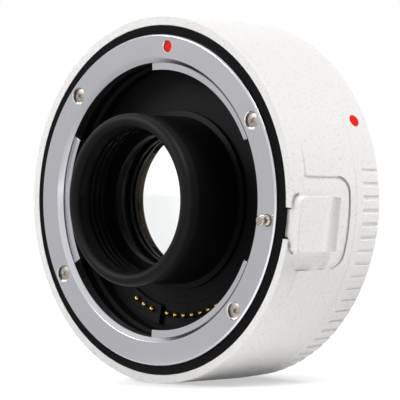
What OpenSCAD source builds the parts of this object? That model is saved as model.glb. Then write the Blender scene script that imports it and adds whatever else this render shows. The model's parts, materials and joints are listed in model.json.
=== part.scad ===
// Teleconverter for an interchangeable-lens camera.
// The optical axis lies along Y: the lens side faces -Y and the camera side faces +Y.
// The origin is the centre of the camera-side flange face, and +Z is up.
// Inside the modules the axis stands upright, and a depth is counted from the lens-side flange face
// towards the camera. Angles are counted from +X, with the lens index mark at 90 before lay_down().

/* [Mount rings] */
// Distance between the two flange faces
flange_gap = 28; // [27.5:0.5:40]
// Outer diameter of both chrome flanges
flange_d = 65; // [64:0.5:72]
// Bore of the lens-side throat
throat_d = 54; // [52.5:0.5:55]
// Thickness of each chrome flange
flange_t = 2.2; // [1.8:0.1:2.8]
// Depth of the whole lens-side ring, flange and skirt
ring_depth = 3; // [2.8:0.1:4]
// Wall of the skirt behind the lens-side flange
skirt_wall = 1.4; // [1:0.1:1.8]
// Radial height of the bayonet lugs
lug_h = 1.4; // [1:0.1:1.8]
// Thickness of a lens-side lug
lug_t = 1.6; // [1.2:0.1:2]
// Middle angles of the three lugs
lug_angles = [187, 67, 307]; // [0:1:360]
// Angular widths of the three lens-side lugs
lug_spans = [56, 68, 68]; // [40:1:70]
// Angular width of each camera-side lug
male_lug_span = 48; // [36:1:50]
// Thickness of a camera-side lug
male_lug_t = 1.75; // [1.4:0.05:2.2]
// Length of the camera-side bayonet tube
male_len = 4.9; // [4.2:0.1:6]
// Wall of the camera-side bayonet tube
male_wall = 1.3; // [1:0.1:1.6]
// Play of the camera-side lugs in a throat of the same bore
male_play = 0.15; // [0.1:0.05:0.4]
// Angle of the lens index mark, counted from +X towards +Z
index_angle = 82.8; // [0:0.1:180]
// Angle that the converter turns through to lock on the camera
lock_turn = 57.5; // [45:0.5:65]
// Angle of the mount screws above and below the level line
screw_angle = 37; // [28:1:52]
// Width of the chamfers on the chrome edges
chrome_edge = 0.5; // [0.2:0.1:0.8]

/* [Barrel] */
// Wall of the main barrel
barrel_wall = 2.15; // [1.9:0.05:4]
// How far the front rim lies below the main barrel
rim_step = 0.4; // [0.1:0.1:0.8]
// Depth of the front edge of the rim
rim_front = 0.8; // [0.4:0.1:1.6]
// Length of the rim
rim_len = 4; // [2.6:0.1:8]
// Chamfer at the front edge of the rim
rim_edge = 0.1; // [0.05:0.05:0.3]
// Length of the grip ring, from the seam to its rear edge
grip_len = 8.1; // [6.5:0.1:8.8]
// How far the camera flange stands behind the grip ring
flange_proud = 0.8; // [0.4:0.1:1.4]
// Chamfer at the rear edge of the grip ring
grip_chamfer = 1; // [0.4:0.1:1.4]
// Width of the V-groove at the seam, each side
seam_bevel = 0.25; // [0.1:0.05:0.5]
// Width of a grip groove
groove_w = 1.45; // [0.8:0.05:1.8]
// Depth of a grip groove
groove_h = 0.45; // [0.2:0.05:0.7]
// Angle from one groove to the next
groove_pitch = 4.15; // [3.5:0.05:8]
// First groove, as an angle above the level line
groove_start = 16.2; // [0:0.1:24]
// Smooth length between the seam and the grooves
groove_gap = 1.6; // [0.8:0.1:3]
// Width of the black ring round the chrome flange
trim_w = 1.3; // [1.1:0.1:2.2]
// Depth of the face of the black ring
trim_front = 1; // [0.4:0.1:1.6]
// Diameter of the red dot on the grip ring
barrel_dot_d = 2.5; // [1.6:0.1:3.4]
// Distance of the red dot behind the seam
barrel_dot_back = 3.4; // [2.2:0.1:4.4]
// Diameter of the red dot in the chrome flange
flange_dot_d = 2.2; // [1.4:0.1:2.6]

/* [Chassis and cover] */
// Wall of the chassis
chassis_wall = 1.6; // [1.2:0.1:2]
// Thickness of the chassis flange behind the lens-side ring
chassis_flange_t = 3; // [2.4:0.1:3.4]
// Thickness of the chassis flange in front of the camera-side ring
chassis_rear_t = 2.8; // [2:0.1:4]
// Depth of the black floor of the throat
floor_depth = 8; // [7.4:0.1:9.4]
// Thickness of that floor
floor_t = 1.4; // [1:0.1:2]
// Thickness of the spring ring behind the lugs
leaf_t = 0.2; // [0.1:0.05:0.4]

/* [Nose and glass] */
// Outer diameter of the nose tube
nose_d = 33.2; // [32:0.2:34.6]
// Wall of the nose tube
nose_wall = 1.3; // [1:0.1:1.6]
// How far the nose stands in front of the lens flange
nose_proud = 7.6; // [5:0.1:12]
// Length of the rounded lip on the nose
bumper_len = 3.2; // [2:0.1:5]
// How far the lip stands out round the nose tube
bumper_out = 0.25; // [0:0.05:0.6]
// Opening of the lip
bumper_bore_d = 28.4; // [27.6:0.2:30]
// Width of the base ring of the nose
nose_base_w = 1.1; // [0.6:0.1:1.6]
// Diameter of the glass elements
glass_d = 27; // [25.8:0.2:28]
// Depth of the middle of the front glass surface
glass_front = 3; // [2:0.1:4]
// Clear opening behind the glass
rear_clear_d = 24.8; // [22:0.2:25.4]
// Width of the rear opening of the black funnel
funnel_d = 40.4; // [34:0.2:41]

/* [Contacts] */
// Distance of the contacts inside the throat's wall
contact_inset = 4.1; // [3.4:0.1:4.4]
// Angle from one contact to the next
contact_pitch = 5.85; // [5.6:0.05:6.4]
// Angle of the first contact, on the raised step
contact_first = 247.2; // [235:0.1:255]
// Angle across the gap between the two groups of contacts
contact_gap = 9; // [7:0.1:12]
// Diameter of a contact
contact_d = 1; // [0.8:0.05:1.2]
// How far the contacts stand out
contact_proud = 0.95; // [0.85:0.05:1.4]
// Height of the raised step
step_h = 0.9; // [0.4:0.1:1.2]
// Travel of a contact
contact_travel = 0.8; // [0.5:0.05:0.85]

/* [Release] */
// Height of the release slider, round the barrel
lever_w = 10.7; // [8:0.1:13]
// Length of the release slider, along the axis
lever_len = 12.95; // [11.5:0.05:13.5]
// Thickness of the release slider
lever_h = 1.8; // [1.7:0.1:2.4]
// Depth of the front wall of the release slider
lever_front = 1.45; // [1.35:0.05:1.7]
// Rounding of the slider's front corners
lever_front_round = 1.4; // [0.6:0.1:2]
// Rounding of the slider's rear corners
lever_rear_round = 2.5; // [1:0.1:3.5]
// Depth of the thumb scoop in the slider
scoop_h = 1.2; // [0.4:0.1:1.3]
// Radius of the thumb scoop
scoop_r = 3.9; // [3:0.1:5]
// Width of the tongue below the slider's front wall
tongue_w = 5.5; // [4.6:0.1:7]
// How deep the pocket round the slider lies below the barrel
pocket_h = 0.45; // [0.3:0.05:0.6]
// Height of the pocket, round the barrel
pocket_w = 18; // [15:0.1:20]
// Rounding of the pocket's corners
pocket_round = 3.2; // [1:0.1:4]
// Travel of the slider and the lock pin
lock_travel = 2.4; // [1.8:0.1:2.6]
// Diameter of the lock pin
lock_pin_d = 2; // [1.6:0.1:2.2]
// How far the lock pin stands out of the flange
lock_pin_proud = 2.2; // [1.2:0.1:2.4]
// Distance of the lock pin inside the flange's edge
lock_pin_inset = 1.9; // [1.7:0.1:2.1]

/* [Clearances] */
// Clearance between fitted rings, and round a fixed screw or pin
fit_gap = 0.05; // [0.02:0.01:0.08]
// Running clearance round the lock pin and the contacts
run_gap = 0.06; // [0.04:0.01:0.1]
// Clearance round the sliding lever
slide_gap = 0.15; // [0.1:0.05:0.25]

/* [Hidden] */
$fn = 96;
fine = 720;

// How far a cut runs past a face, and how far two joined shapes reach into each other
over = 1;
weld = 0.1;

// Radii, from the throat outwards
throat_r = throat_d / 2;
skirt_r = throat_r + skirt_wall;
flange_r = flange_d / 2;
chassis_r = flange_r + trim_w;
chassis_in_r = chassis_r - chassis_wall;
barrel_in_r = chassis_r + fit_gap;
barrel_r = barrel_in_r + barrel_wall;
rim_r = barrel_r - rim_step;
tail_wall = 0.75;
tail_r = barrel_in_r + tail_wall;

// Depths that follow from the sizes above
cover_seat = flange_t + chassis_flange_t;
chassis_rear = flange_gap - flange_t;
grip_rear = flange_gap - flange_proud;
seam = grip_rear - grip_len;
tail_len = 3.4;
tail_rear = seam + tail_len;
rim_rear = rim_front + rim_len;
leaf_rear = ring_depth + leaf_t;
floor_rear = floor_depth + floor_t;
male_rear = flange_gap + male_len;

// Mount screws
mount_screws = [screw_angle, 180 - screw_angle, 180 + screw_angle, -screw_angle];
mount_screw_r = (skirt_r + flange_r - chrome_edge) / 2;
screw_head_r = 1.4;
screw_head_h = 0.65;
screw_sink = 0.35;
screw_shank_r = 0.85;
screw_web = 0.4;
recess_gap = 0.25;
front_bite = chassis_flange_t - screw_web;
rear_bite = chassis_rear_t - screw_web;

// Small screws, all driven from the camera side or from inside
small_shank_r = 0.45;
small_head_r = 0.8;
small_head_h = 0.5;
small_bite = 1.4;

// Index dots
dot_sink = 0.3;
dot_t = 0.5;
index_r = (skirt_r + flange_r - chrome_edge) / 2;
barrel_dot_depth = seam + barrel_dot_back;

// Camera-side bayonet
male_lug_r = throat_r - male_play;
male_r = male_lug_r - lug_h;
male_in_r = male_r - male_wall;
rear_seat_w = 1.6;
rear_seat_r = male_in_r - rear_seat_w;

// Inner cover
cover_relief = 0.3;
cover_wall_in_r = throat_r + cover_relief;
cover_floor_r = throat_r - cover_relief;
cover_flange_gap = 1.2;
cover_flange_r = chassis_in_r - cover_flange_gap;
cover_flange_t = 1.2;
cover_lip = 2;
cover_step = leaf_rear + cover_lip;
cover_screw_angles = [90, 195, 345];
cover_screw_r = (skirt_r + cover_flange_r) / 2;
leaf_tab = 1.1;
leaf_tab_span = 28;
leaf_pad_span = 10;
leaf_pad_h = 0.25;
leaf_pad_w = 0.5;
leaf_pad_inset = 0.1;

// Nose and lens cell
nose_r = nose_d / 2;
nose_in_r = nose_r - nose_wall;
nose_front = bumper_len - nose_proud;
nose_tail = 2.6;
nose_rear = floor_rear + nose_tail;
nose_base_h = 1.2;
nose_base_slope = 0.2;
nut_w = 2;
nut_t = 1.8;
bumper_r = nose_r + bumper_out;
bumper_bore_r = bumper_bore_d / 2;
cell_r = nose_in_r - fit_gap;
cell_front_wall = 0.5;
cell_bore_r = cell_r - cell_front_wall;
cell_flange_t = 1;
glass_r = glass_d / 2;
rear_clear_r = rear_clear_d / 2;
retainer_t = 0.8;
retainer_w = 0.5;
retainer_front = glass_front - retainer_t;
retainer_r = glass_r - retainer_w;
ridge_h = 0.5;
ridge_t = 0.45;
ridge_pitch = 1.4;
ridge_count = floor((retainer_front - nose_front - ridge_t) / ridge_pitch);

// Glass surfaces: depths on the axis and radii of curvature
element_1_t = 3.8;
element_2_t = 1.8;
element_3_t = 3.1;
element_4_t = 1.6;
element_5_t = 3;
air_1 = 0.3;
air_2 = 0.4;
cement_1 = glass_front + element_1_t;
flat_2 = cement_1 + element_2_t;
apex_3 = flat_2 + air_1;
rear_3 = apex_3 + element_3_t;
flat_4 = rear_3 + air_2;
cement_2 = flat_4 + element_4_t;
glass_rear = cement_2 + element_5_t;
front_curve = 90;
cement_1_curve = 60;
middle_curve = 120;
cement_2_curve = 200;
rear_curve = 40;
spacer_w = 0.8;
spacer_r = glass_r - spacer_w;
cell_seat = glass_rear - sag(rear_curve, rear_clear_r);
cell_lip = 0.6;
cell_tail = 3.2;
cell_rear = cell_seat + cell_tail;
cell_rear_wall = 0.9;
cell_rear_bore_r = cell_r - cell_rear_wall;

// Rear funnel
funnel_front = cell_rear + fit_gap;
funnel_in_r = cell_rear_bore_r + fit_gap;
funnel_wall = 0.8;
funnel_r = funnel_d / 2;
funnel_flange_t = 1;
funnel_flange_r = male_in_r - fit_gap;
funnel_screw_angles = [20, 90, 160];
funnel_screw_r = (rear_seat_r + funnel_flange_r) / 2;

// Front contacts and their block
contact_count = 11;
step_count = 3;
contact_r = throat_r - contact_inset;
contact_angles = [for (i = [0:contact_count - 1])
    contact_first + i * contact_pitch + (i < step_count ? 0 : contact_gap - contact_pitch)];
contact_last = contact_angles[contact_count - 1];
contact_rad = contact_d / 2;
collar_w = 0.35;
collar_t = 0.5;
collar_sink = 1.2;
collar_r = contact_rad + collar_w;
collar_front = floor_depth + collar_sink;
collar_rear = collar_front + collar_t;
spring_solid = 1;
block_in_w = 2.3;
block_out_w = 2.5;
block_in_r = contact_r - block_in_w;
block_out_r = contact_r + block_out_w;
block_rear = collar_rear + contact_travel + spring_solid;
block_flange_t = 1;
block_flange_w = 0.8;
block_end = 4.7;
block_from = contact_first - block_end;
block_to = contact_last + block_end;
block_ear = 5.6;
block_screw_angles = [block_from - block_ear / 2, block_to + block_ear / 2];
step_in_w = 1.3;
step_end = 5.3;
step_in_r = contact_r - step_in_w;
step_to = contact_angles[step_count - 1] + step_end;
contact_wire = 0.2;
contact_turns = 2.5;

// Flexible circuits, board and rear contacts
flex_t = 0.2;
flex_margin = 0.2;
flex_span = 16;
flex_from = (block_from + block_to - flex_span) / 2;
flex_to = flex_from + flex_span;
flex_tab_r = block_out_r + flex_margin;
board_gap = 2.5;
board_front = block_rear + board_gap;
board_t = 1;
board_rear = board_front + board_t;
board_in_gap = 3;
board_out_gap = 0.1;
board_in_r = nose_r + board_in_gap;
board_out_r = chassis_in_r - board_out_gap;
board_notch_w = 8.4;
ledge_t = 1.4;
ledge_w = 1.6;
ledge_r = chassis_in_r - ledge_w;
board_screw_angles = [60, 180, 300];
board_screw_inset = 0.6;
board_screw_r = ledge_r + board_screw_inset;
connector_t = 1;
connector_w = 3;
chip_w = 7;
chip_t = 1;
chip_angle = 120;
chip_r = (board_in_r + ledge_r) / 2;
pad_r = 0.75;
pad_t = 0.5;
pad_proud = 0.05;
rear_block_w = 2.7;
rear_block_out_r = male_in_r - fit_gap;
rear_block_in_r = rear_block_out_r - rear_block_w;
rear_block_mid_r = (rear_block_in_r + rear_block_out_r) / 2;
rear_block_sink = 0.5;
rear_block_rear = male_rear - rear_block_sink;
rear_ear_t = 1.4;
rear_flex_gap = 0.3;
rear_flex_r = rear_seat_r - rear_flex_gap;

// Release slider and the pocket that it runs in
pocket_r = barrel_r - pocket_h;
pocket_end_gap = 0.7;
lever_x = pocket_r + slide_gap;
lever_top = lever_x + lever_h;
lever_rear = lever_front + lever_len;
pocket_rear = lever_rear + lock_travel + pocket_end_gap;
scoop_lip = 0.5;
scoop_half = sqrt(scoop_h * (2 * scoop_r - scoop_h));
scoop_depth = lever_rear - scoop_lip - scoop_half;

// Foot below the slider's front wall, the notch that it runs in, and the tongue below the foot
foot_h = 0.6;
foot_len = 2.6;
foot_gap = 0.4;
foot_w = lever_w - 2 * lever_front_round;
foot_x = pocket_r - foot_h;
foot_rear = lever_front + foot_len;
notch_rear = foot_rear + lock_travel + foot_gap;
tongue_gap = 0.1;
tongue_x = barrel_in_r + tongue_gap;

// Stem that joins the slider to the lock pin, its slot and its screws
stem_set = 4.15;
stem_len = 5.2;
stem_sink = 0.2;
stem_front = lever_front + stem_set;
stem_rear = stem_front + stem_len;
stem_w = tongue_w - 2 * slide_gap;
stem_x = chassis_in_r + stem_sink;
slot_end_gap = 0.4;
slot_rear = stem_rear + lock_travel + slot_end_gap;
lever_screw_edge = 1.2;
lever_screw_depths = [stem_front + lever_screw_edge, stem_rear - lever_screw_edge];
lever_screw_head_r = 0.9;
lever_screw_head_h = 0.6;
lever_screw_bite = 0.4;
lever_screw_x = stem_x + lever_screw_head_h + fit_gap;
lever_screw_len = lever_x - lever_screw_x + lever_screw_bite;
lever_screw_r = 0.5;

// Lock pin, the arm that carries it and its spring
lock_pin_r = flange_r - lock_pin_inset;
pin_r = lock_pin_d / 2;
pin_edge = 0.15;
pin_groove = 0.2;
pin_collar_w = 0.5;
pin_collar_t = 0.8;
pin_collar_r = pin_r + pin_collar_w;
arm_side = 0.9;
arm_web = 0.4;
arm_t = 1.2;
arm_w = lock_pin_d + 2 * arm_side;
arm_x = lock_pin_r - pin_r - arm_web;
arm_front = (stem_front + stem_rear - arm_t) / 2;
arm_rear = arm_front + arm_t;
pin_tail_len = 2.8;
pin_end_gap = 0.2;
pin_tail = arm_rear + pin_tail_len;
spring_seat = pin_tail + lock_travel + pin_end_gap;
spring_seat_t = 1.6;
spring_seat_side = 1.2;
spring_seat_w = lock_pin_d + 2 * spring_seat_side;
lock_wire = 0.4;
lock_coil_gap = 0.35;
lock_coil_r = pin_r + lock_coil_gap;
lock_turns = 5;
pin_relief_r = max(pin_collar_r, lock_coil_r + lock_wire / 2) + slide_gap;

// Screws that hold the front barrel on the chassis, under the grip ring
barrel_screw_angles = [60, 180, 300];
barrel_screw_depth = (seam + tail_rear) / 2;
barrel_screw_r = 0.8;
barrel_screw_sink = 0.2;
barrel_screw_in = chassis_in_r + barrel_screw_sink;
barrel_screw_slot = 0.27;

// Height of a spherical cap of radius R at distance r from its middle
function sag(R, r) = R - sqrt(R * R - r * r);

// Angle of an arc of some length at distance r from the axis
function arc_angle(length, r) = length / r * 180 / PI;

// Lays the upright stack down along Y and turns its index mark to its angle
module lay_down()
    rotate([90, 0, 0])
        rotate([0, 0, index_angle - 90])
            children();

// Moves children to a depth behind the lens flange, with their own +Z towards the lens
module at_depth(d)
    translate([0, 0, flange_gap - d])
        children();

// A turned ring whose outline is a list of [radius, depth]
module turned(outline)
    at_depth(0)
        rotate_extrude()
            polygon([for (p = outline) [p[0], -p[1]]]);

// A plain ring between two radii and two depths
module ring(inner, outer, front, rear)
    turned([[inner, front], [outer, front], [outer, rear], [inner, rear]]);

// A part of such a ring between two angles
module arc(inner, outer, front, rear, from, to)
    at_depth(rear)
        rotate(from)
            rotate_extrude(angle = to - from)
                translate([inner, 0])
                    square([outer - inner, rear - front]);

// A round rod along the axis, between two depths
module rod(r, front, rear)
    at_depth(rear)
        cylinder(r = r, h = rear - front);

// Copies children to places on a circle
module around(angles, r)
    for (a = angles)
        rotate(a)
            translate([r, 0, 0])
                children();

// Turns children so that their own +Z points outwards, at some depth and distance from the axis
module outwards(depth, r)
    at_depth(depth)
        translate([r, 0, 0])
            rotate([0, 90, 0])
                children();

// A box on the level line, from x0 to x1, w high, between two depths
module level_box(x0, x1, w, front, rear)
    translate([x0, -w / 2, flange_gap - rear])
        cube([x1 - x0, w, rear - front]);

// A plate on the level line, like level_box, with its front and rear corners rounded
module rounded_plate(x0, x1, w, front, rear, front_round, rear_round) {
    length = rear - front;
    translate([x0, 0, flange_gap - rear])
        rotate([90, 0, 90])
            linear_extrude(x1 - x0) {
                translate([-w / 2, rear_round])
                    square([w, length - front_round - rear_round]);
                translate([front_round - w / 2, rear_round])
                    square([w - 2 * front_round, length - rear_round]);
                translate([rear_round - w / 2, 0])
                    square([w - 2 * rear_round, length - front_round]);
                for (side = [-1, 1]) {
                    translate([side * (w / 2 - front_round), length - front_round])
                        circle(front_round);
                    translate([side * (w / 2 - rear_round), rear_round])
                        circle(rear_round);
                }
            }
}

// A cross-head screw: its head is above z = 0 and its shank below
module screw(head_r, head_h, shank_r, length) {
    bevel = head_h / 4;
    slot_w = head_r / 4;
    slot_l = head_r * 1.25;
    slot_h = head_h / 2;
    difference() {
        rotate_extrude()
            polygon([[0, -length], [shank_r, -length], [shank_r, 0], [head_r, 0], [head_r, head_h - bevel],
                [head_r - bevel, head_h], [0, head_h]]);
        for (a = [0, 90])
            rotate(a)
                translate([-slot_l / 2, -slot_w / 2, head_h - slot_h])
                    cube([slot_l, slot_w, head_h]);
    }
}

// A small screw driven from the camera side, its head on a seat at some depth
module rear_screw(seat, length)
    at_depth(seat)
        mirror([0, 0, 1])
            screw(small_head_r, small_head_h, small_shank_r, length);

// One mount screw, with the flange face at z = 0
module mount_screw(bite)
    translate([0, 0, -screw_sink - screw_head_h])
        screw(screw_head_r, screw_head_h, screw_shank_r, flange_t - screw_sink - screw_head_h + bite);

// Recess and hole of one mount screw, with the flange face at z = 0
module mount_screw_hole() {
    translate([0, 0, -screw_sink - screw_head_h])
        cylinder(r = screw_head_r + recess_gap, h = screw_sink + screw_head_h + over);
    translate([0, 0, -flange_t - over])
        cylinder(r = screw_shank_r + fit_gap, h = flange_t + over);
}

// Three bayonet lugs between two radii and two depths
module lugs(inner, outer, front, rear, spans)
    for (i = [0:len(lug_angles) - 1])
        arc(inner, outer, front, rear, lug_angles[i] - spans[i] / 2, lug_angles[i] + spans[i] / 2);

// One unbroken coil of wire along +Z, made of rings of points
module coil(radius, wire, length, turns, steps, sides) {
    count = ceil(turns * steps);
    climb = length - wire;
    points = [for (i = [0:count], j = [0:sides - 1])
        let (a = 360 * turns * i / count, b = 360 * j / sides, q = radius + wire / 2 * cos(b))
        [q * cos(a), q * sin(a), wire / 2 + climb * i / count + wire / 2 * sin(b)]];
    walls = [for (i = [0:count - 1], j = [0:sides - 1], half = [0, 1])
        let (k = (j + 1) % sides, low = i * sides, high = low + sides)
        half == 0 ? [low + j, low + k, high + k] : [low + j, high + k, high + j]];
    first_cap = [for (j = [1:sides - 2]) [0, j + 1, j]];
    last_cap = [for (j = [1:sides - 2]) [count * sides, count * sides + j, count * sides + j + 1]];
    polyhedron(points, concat(walls, first_cap, last_cap));
}

// Turns an outline of glass about the axis: it is drawn to the right, with depth downwards
module turned_glass() at_depth(0) rotate_extrude() children();
module slab(front, rear) translate([0, -rear]) square([glass_r, rear - front]);
module curve_behind(depth, radius) translate([0, -depth - radius]) circle(radius, $fn = fine);
module curve_before(depth, radius) translate([0, -depth + radius]) circle(radius, $fn = fine);

module front_barrel() color("whitesmoke") lay_down() difference() {
    turned([[barrel_in_r, rim_front], [rim_r - rim_edge, rim_front], [rim_r, rim_front + rim_edge],
        [rim_r, rim_rear], [barrel_r, rim_rear + rim_step / 2], [barrel_r, seam - seam_bevel],
        [barrel_r - seam_bevel, seam], [tail_r, seam], [tail_r, tail_rear], [barrel_in_r, tail_rear]]);
    lever_pocket();
    level_box(foot_x - slide_gap, barrel_r + over, foot_w + 2 * slide_gap, lever_front - foot_gap,
        notch_rear);
    level_box(barrel_in_r - over, barrel_r + over, tongue_w + 2 * slide_gap, rim_front - over, slot_rear);
    barrel_screw_holes();
}

// Space cut out of the barrel round the slider, with a round floor, open towards the rim
module lever_pocket() difference() {
    rounded_plate(barrel_in_r, barrel_r + over, pocket_w, rim_front - over, pocket_rear, pocket_round,
        pocket_round);
    rod(pocket_r, rim_front - 2 * over, seam, $fn = fine);
}

module barrel_screw_holes()
    around(barrel_screw_angles, 0)
        outwards(barrel_screw_depth, chassis_in_r - over)
            cylinder(r = barrel_screw_r + fit_gap, h = tail_r - chassis_in_r + 2 * over);

module barrel_screws() color("dimgray") lay_down()
    around(barrel_screw_angles, 0)
        outwards(barrel_screw_depth, barrel_screw_in)
            difference() {
                cylinder(r = barrel_screw_r, h = tail_r - fit_gap - barrel_screw_in);
                translate([0, 0, tail_r - barrel_screw_in])
                    cube([barrel_screw_slot, 2 * barrel_screw_r, tail_wall], center = true);
            }

module rear_grip_ring() color("whitesmoke") lay_down() difference() {
    turned([[tail_r + fit_gap, seam + fit_gap], [barrel_r - seam_bevel, seam + fit_gap],
        [barrel_r, seam + fit_gap + seam_bevel], [barrel_r, grip_rear - grip_chamfer],
        [barrel_r - grip_chamfer, grip_rear], [flange_r + fit_gap, grip_rear],
        [flange_r + fit_gap, chassis_rear], [barrel_in_r, chassis_rear], [barrel_in_r, tail_rear + fit_gap],
        [tail_r + fit_gap, tail_rear + fit_gap]]);
    for (a = [groove_start:-groove_pitch:-180 - groove_start])
        rotate(a)
            grip_groove();
    barrel_dot_place()
        cylinder(d = barrel_dot_d, h = barrel_wall);
}

// One groove of the grip, with a sloping front end, open at the rear edge
module grip_groove() {
    floor_r = barrel_r - groove_h;
    front = seam + groove_gap;
    slope = 2 * groove_h;
    translate([0, groove_w / 2, flange_gap])
        rotate([90, 0, 0])
            linear_extrude(groove_w)
                polygon([[barrel_r, -front], [floor_r, -front - slope], [floor_r, -grip_rear - over],
                    [barrel_r + over, -grip_rear - over], [barrel_r + over, -front]]);
}

// Floor of the barrel dot's recess
module barrel_dot_place()
    rotate(90 - lock_turn)
        outwards(barrel_dot_depth, barrel_r - dot_t - dot_sink)
            children();

module barrel_index_dot() color("red") lay_down() intersection() {
    barrel_dot_place()
        cylinder(d = barrel_dot_d - 2 * fit_gap, h = barrel_wall);
    rod(barrel_r - fit_gap, seam, grip_rear, $fn = fine);
}

module chassis() color("#2a2a2c") lay_down() difference() {
    union() {
        ring(skirt_r + fit_gap, chassis_r, flange_t, cover_seat);
        ring(chassis_in_r, chassis_r, flange_t, chassis_rear);
        ring(ledge_r, chassis_r, board_rear, board_rear + ledge_t);
        ring(rear_seat_r, chassis_r, chassis_rear - chassis_rear_t, chassis_rear);
        intersection() {
            level_box(arm_x, chassis_r, spring_seat_w, spring_seat, spring_seat + spring_seat_t);
            rod(chassis_r, spring_seat, spring_seat + spring_seat_t);
        }
    }
    level_box(stem_x - over, chassis_r + over, stem_w + 4 * slide_gap, stem_front - fit_gap, slot_rear);
    around([0], lock_pin_r) {
        rod(pin_r + run_gap, flange_t - over, cover_seat + over);
        rod(pin_relief_r, cover_seat, spring_seat);
    }
    around(mount_screws, mount_screw_r) {
        rod(screw_shank_r + fit_gap, flange_t - over, flange_t + front_bite + fit_gap);
        rod(screw_shank_r + fit_gap, chassis_rear - rear_bite - fit_gap, chassis_rear + over);
    }
    around(cover_screw_angles, cover_screw_r)
        rod(small_shank_r + fit_gap, cover_seat - small_bite - fit_gap, cover_seat + over);
    around(board_screw_angles, board_screw_r)
        rod(small_shank_r + fit_gap, board_rear - over, board_rear + ledge_t + over);
    around(concat(funnel_screw_angles, block_screw_angles), funnel_screw_r)
        rod(small_shank_r + fit_gap, chassis_rear - small_bite - fit_gap, chassis_rear + over);
    barrel_screw_holes();
}

module front_mount_ring() color("silver") lay_down() difference() {
    union() {
        turned([[throat_r + chrome_edge, 0], [flange_r - chrome_edge, 0], [flange_r, chrome_edge],
            [flange_r, flange_t], [skirt_r, flange_t], [skirt_r, ring_depth], [throat_r, ring_depth],
            [throat_r, chrome_edge]]);
        lugs(throat_r - lug_h, throat_r + skirt_wall / 2, ring_depth - lug_t, ring_depth, lug_spans);
    }
    around(mount_screws, mount_screw_r) at_depth(0) mount_screw_hole();
    around([90], index_r) flange_dot_hole();
    around([0], lock_pin_r) rod(pin_r + run_gap, -over, flange_t + over);
}

// Bevelled round recess of the flange's index dot
module flange_dot_hole() {
    dot_r = flange_dot_d / 2;
    rod(dot_r, -over, dot_sink + dot_t);
    at_depth(dot_sink)
        cylinder(r1 = dot_r, r2 = dot_r + 2 * dot_sink, h = 2 * dot_sink);
}

module front_mount_screws() color("lightgray") lay_down()
    around(mount_screws, mount_screw_r)
        at_depth(0)
            mount_screw(front_bite);

module front_index_dot() color("red") lay_down()
    around([90], index_r)
        rod(flange_dot_d / 2 - fit_gap, dot_sink, dot_sink + dot_t);

module front_trim_ring() color("#1a1a1c") lay_down()
    ring(flange_r + fit_gap, chassis_r, trim_front, flange_t);

module bayonet_leaf_spring() color("gainsboro") lay_down() {
    tab_r = cover_wall_in_r - leaf_tab;
    tab_gap = 360 / len(lug_angles) - leaf_tab_span;
    difference() {
        ring(tab_r, skirt_r, ring_depth, leaf_rear);
        for (a = lug_angles)
            arc(tab_r - over, cover_wall_in_r, ring_depth - over, leaf_rear + over, a + leaf_tab_span / 2,
                a + leaf_tab_span / 2 + tab_gap);
    }
    for (a = lug_angles)
        arc(tab_r + leaf_pad_inset, tab_r + leaf_pad_inset + leaf_pad_w, leaf_rear - leaf_t / 2,
            leaf_rear + leaf_pad_h, a - leaf_pad_span / 2, a + leaf_pad_span / 2);
}

module front_inner_cover() color("#161618") lay_down() difference() {
    end_gap = arc_angle(fit_gap, block_in_r);
    turned([[cover_wall_in_r, leaf_rear], [skirt_r, leaf_rear], [skirt_r, cover_seat],
        [cover_flange_r, cover_seat], [cover_flange_r, cover_seat + cover_flange_t],
        [skirt_r, cover_seat + cover_flange_t], [skirt_r, floor_rear], [nose_r + fit_gap, floor_rear],
        [nose_r + fit_gap, floor_depth], [cover_floor_r, floor_depth],
        [cover_floor_r, cover_step + 2 * cover_relief], [cover_wall_in_r, cover_step]]);
    level_box(lock_pin_r - pin_collar_r - slide_gap, cover_flange_r + over, arm_w + 2 * slide_gap,
        cover_seat - over, cover_seat + cover_flange_t + over);
    arc(block_in_r - fit_gap, block_out_r + fit_gap, floor_depth - over, floor_rear + over,
        block_from - end_gap, block_to + end_gap);
    around(cover_screw_angles, cover_screw_r)
        rod(small_shank_r + fit_gap, cover_seat - over, cover_seat + cover_flange_t + over);
    around(block_screw_angles, contact_r)
        rod(small_shank_r + fit_gap, floor_depth + screw_web - fit_gap, floor_rear + over);
}

module cover_screws() color("dimgray") lay_down()
    around(cover_screw_angles, cover_screw_r)
        rear_screw(cover_seat + cover_flange_t, cover_flange_t + small_bite);

module nose_tube() color("#141416") lay_down()
    turned([[nose_in_r, nose_front], [nose_r, nose_front], [nose_r, floor_depth - nose_base_h],
        [nose_r + nose_base_w, floor_depth - nose_base_h + nose_base_slope],
        [nose_r + nose_base_w, floor_depth], [nose_r, floor_depth], [nose_r, nose_rear],
        [nose_in_r, nose_rear]]);

module nose_bumper() color("#202022") lay_down() {
    round_r = (bumper_r - bumper_bore_r) / 2;
    at_depth(nose_front)
        rotate_extrude() {
            translate([bumper_bore_r, 0])
                square([2 * round_r, bumper_len - round_r]);
            translate([bumper_bore_r + round_r, bumper_len - round_r])
                circle(round_r);
        }
}

module nose_lock_ring() color("#2a2a2c") lay_down()
    ring(nose_r + fit_gap, nose_r + nut_w, floor_rear, floor_rear + nut_t);

module lens_cell() color("#101012") lay_down() {
    turned([[cell_bore_r, nose_front], [cell_r, nose_front], [cell_r, nose_rear], [nose_r, nose_rear],
        [nose_r, nose_rear + cell_flange_t], [cell_r, nose_rear + cell_flange_t], [cell_r, cell_rear],
        [cell_rear_bore_r, cell_rear], [rear_clear_r, cell_seat + cell_lip], [rear_clear_r, cell_seat],
        [glass_r + fit_gap, cell_seat], [glass_r + fit_gap, retainer_front], [cell_bore_r, retainer_front]]);
    for (i = [1:ridge_count])
        ring(cell_bore_r - ridge_h, cell_bore_r + weld, retainer_front - i * ridge_pitch,
            retainer_front - i * ridge_pitch + ridge_t);
}

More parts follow.
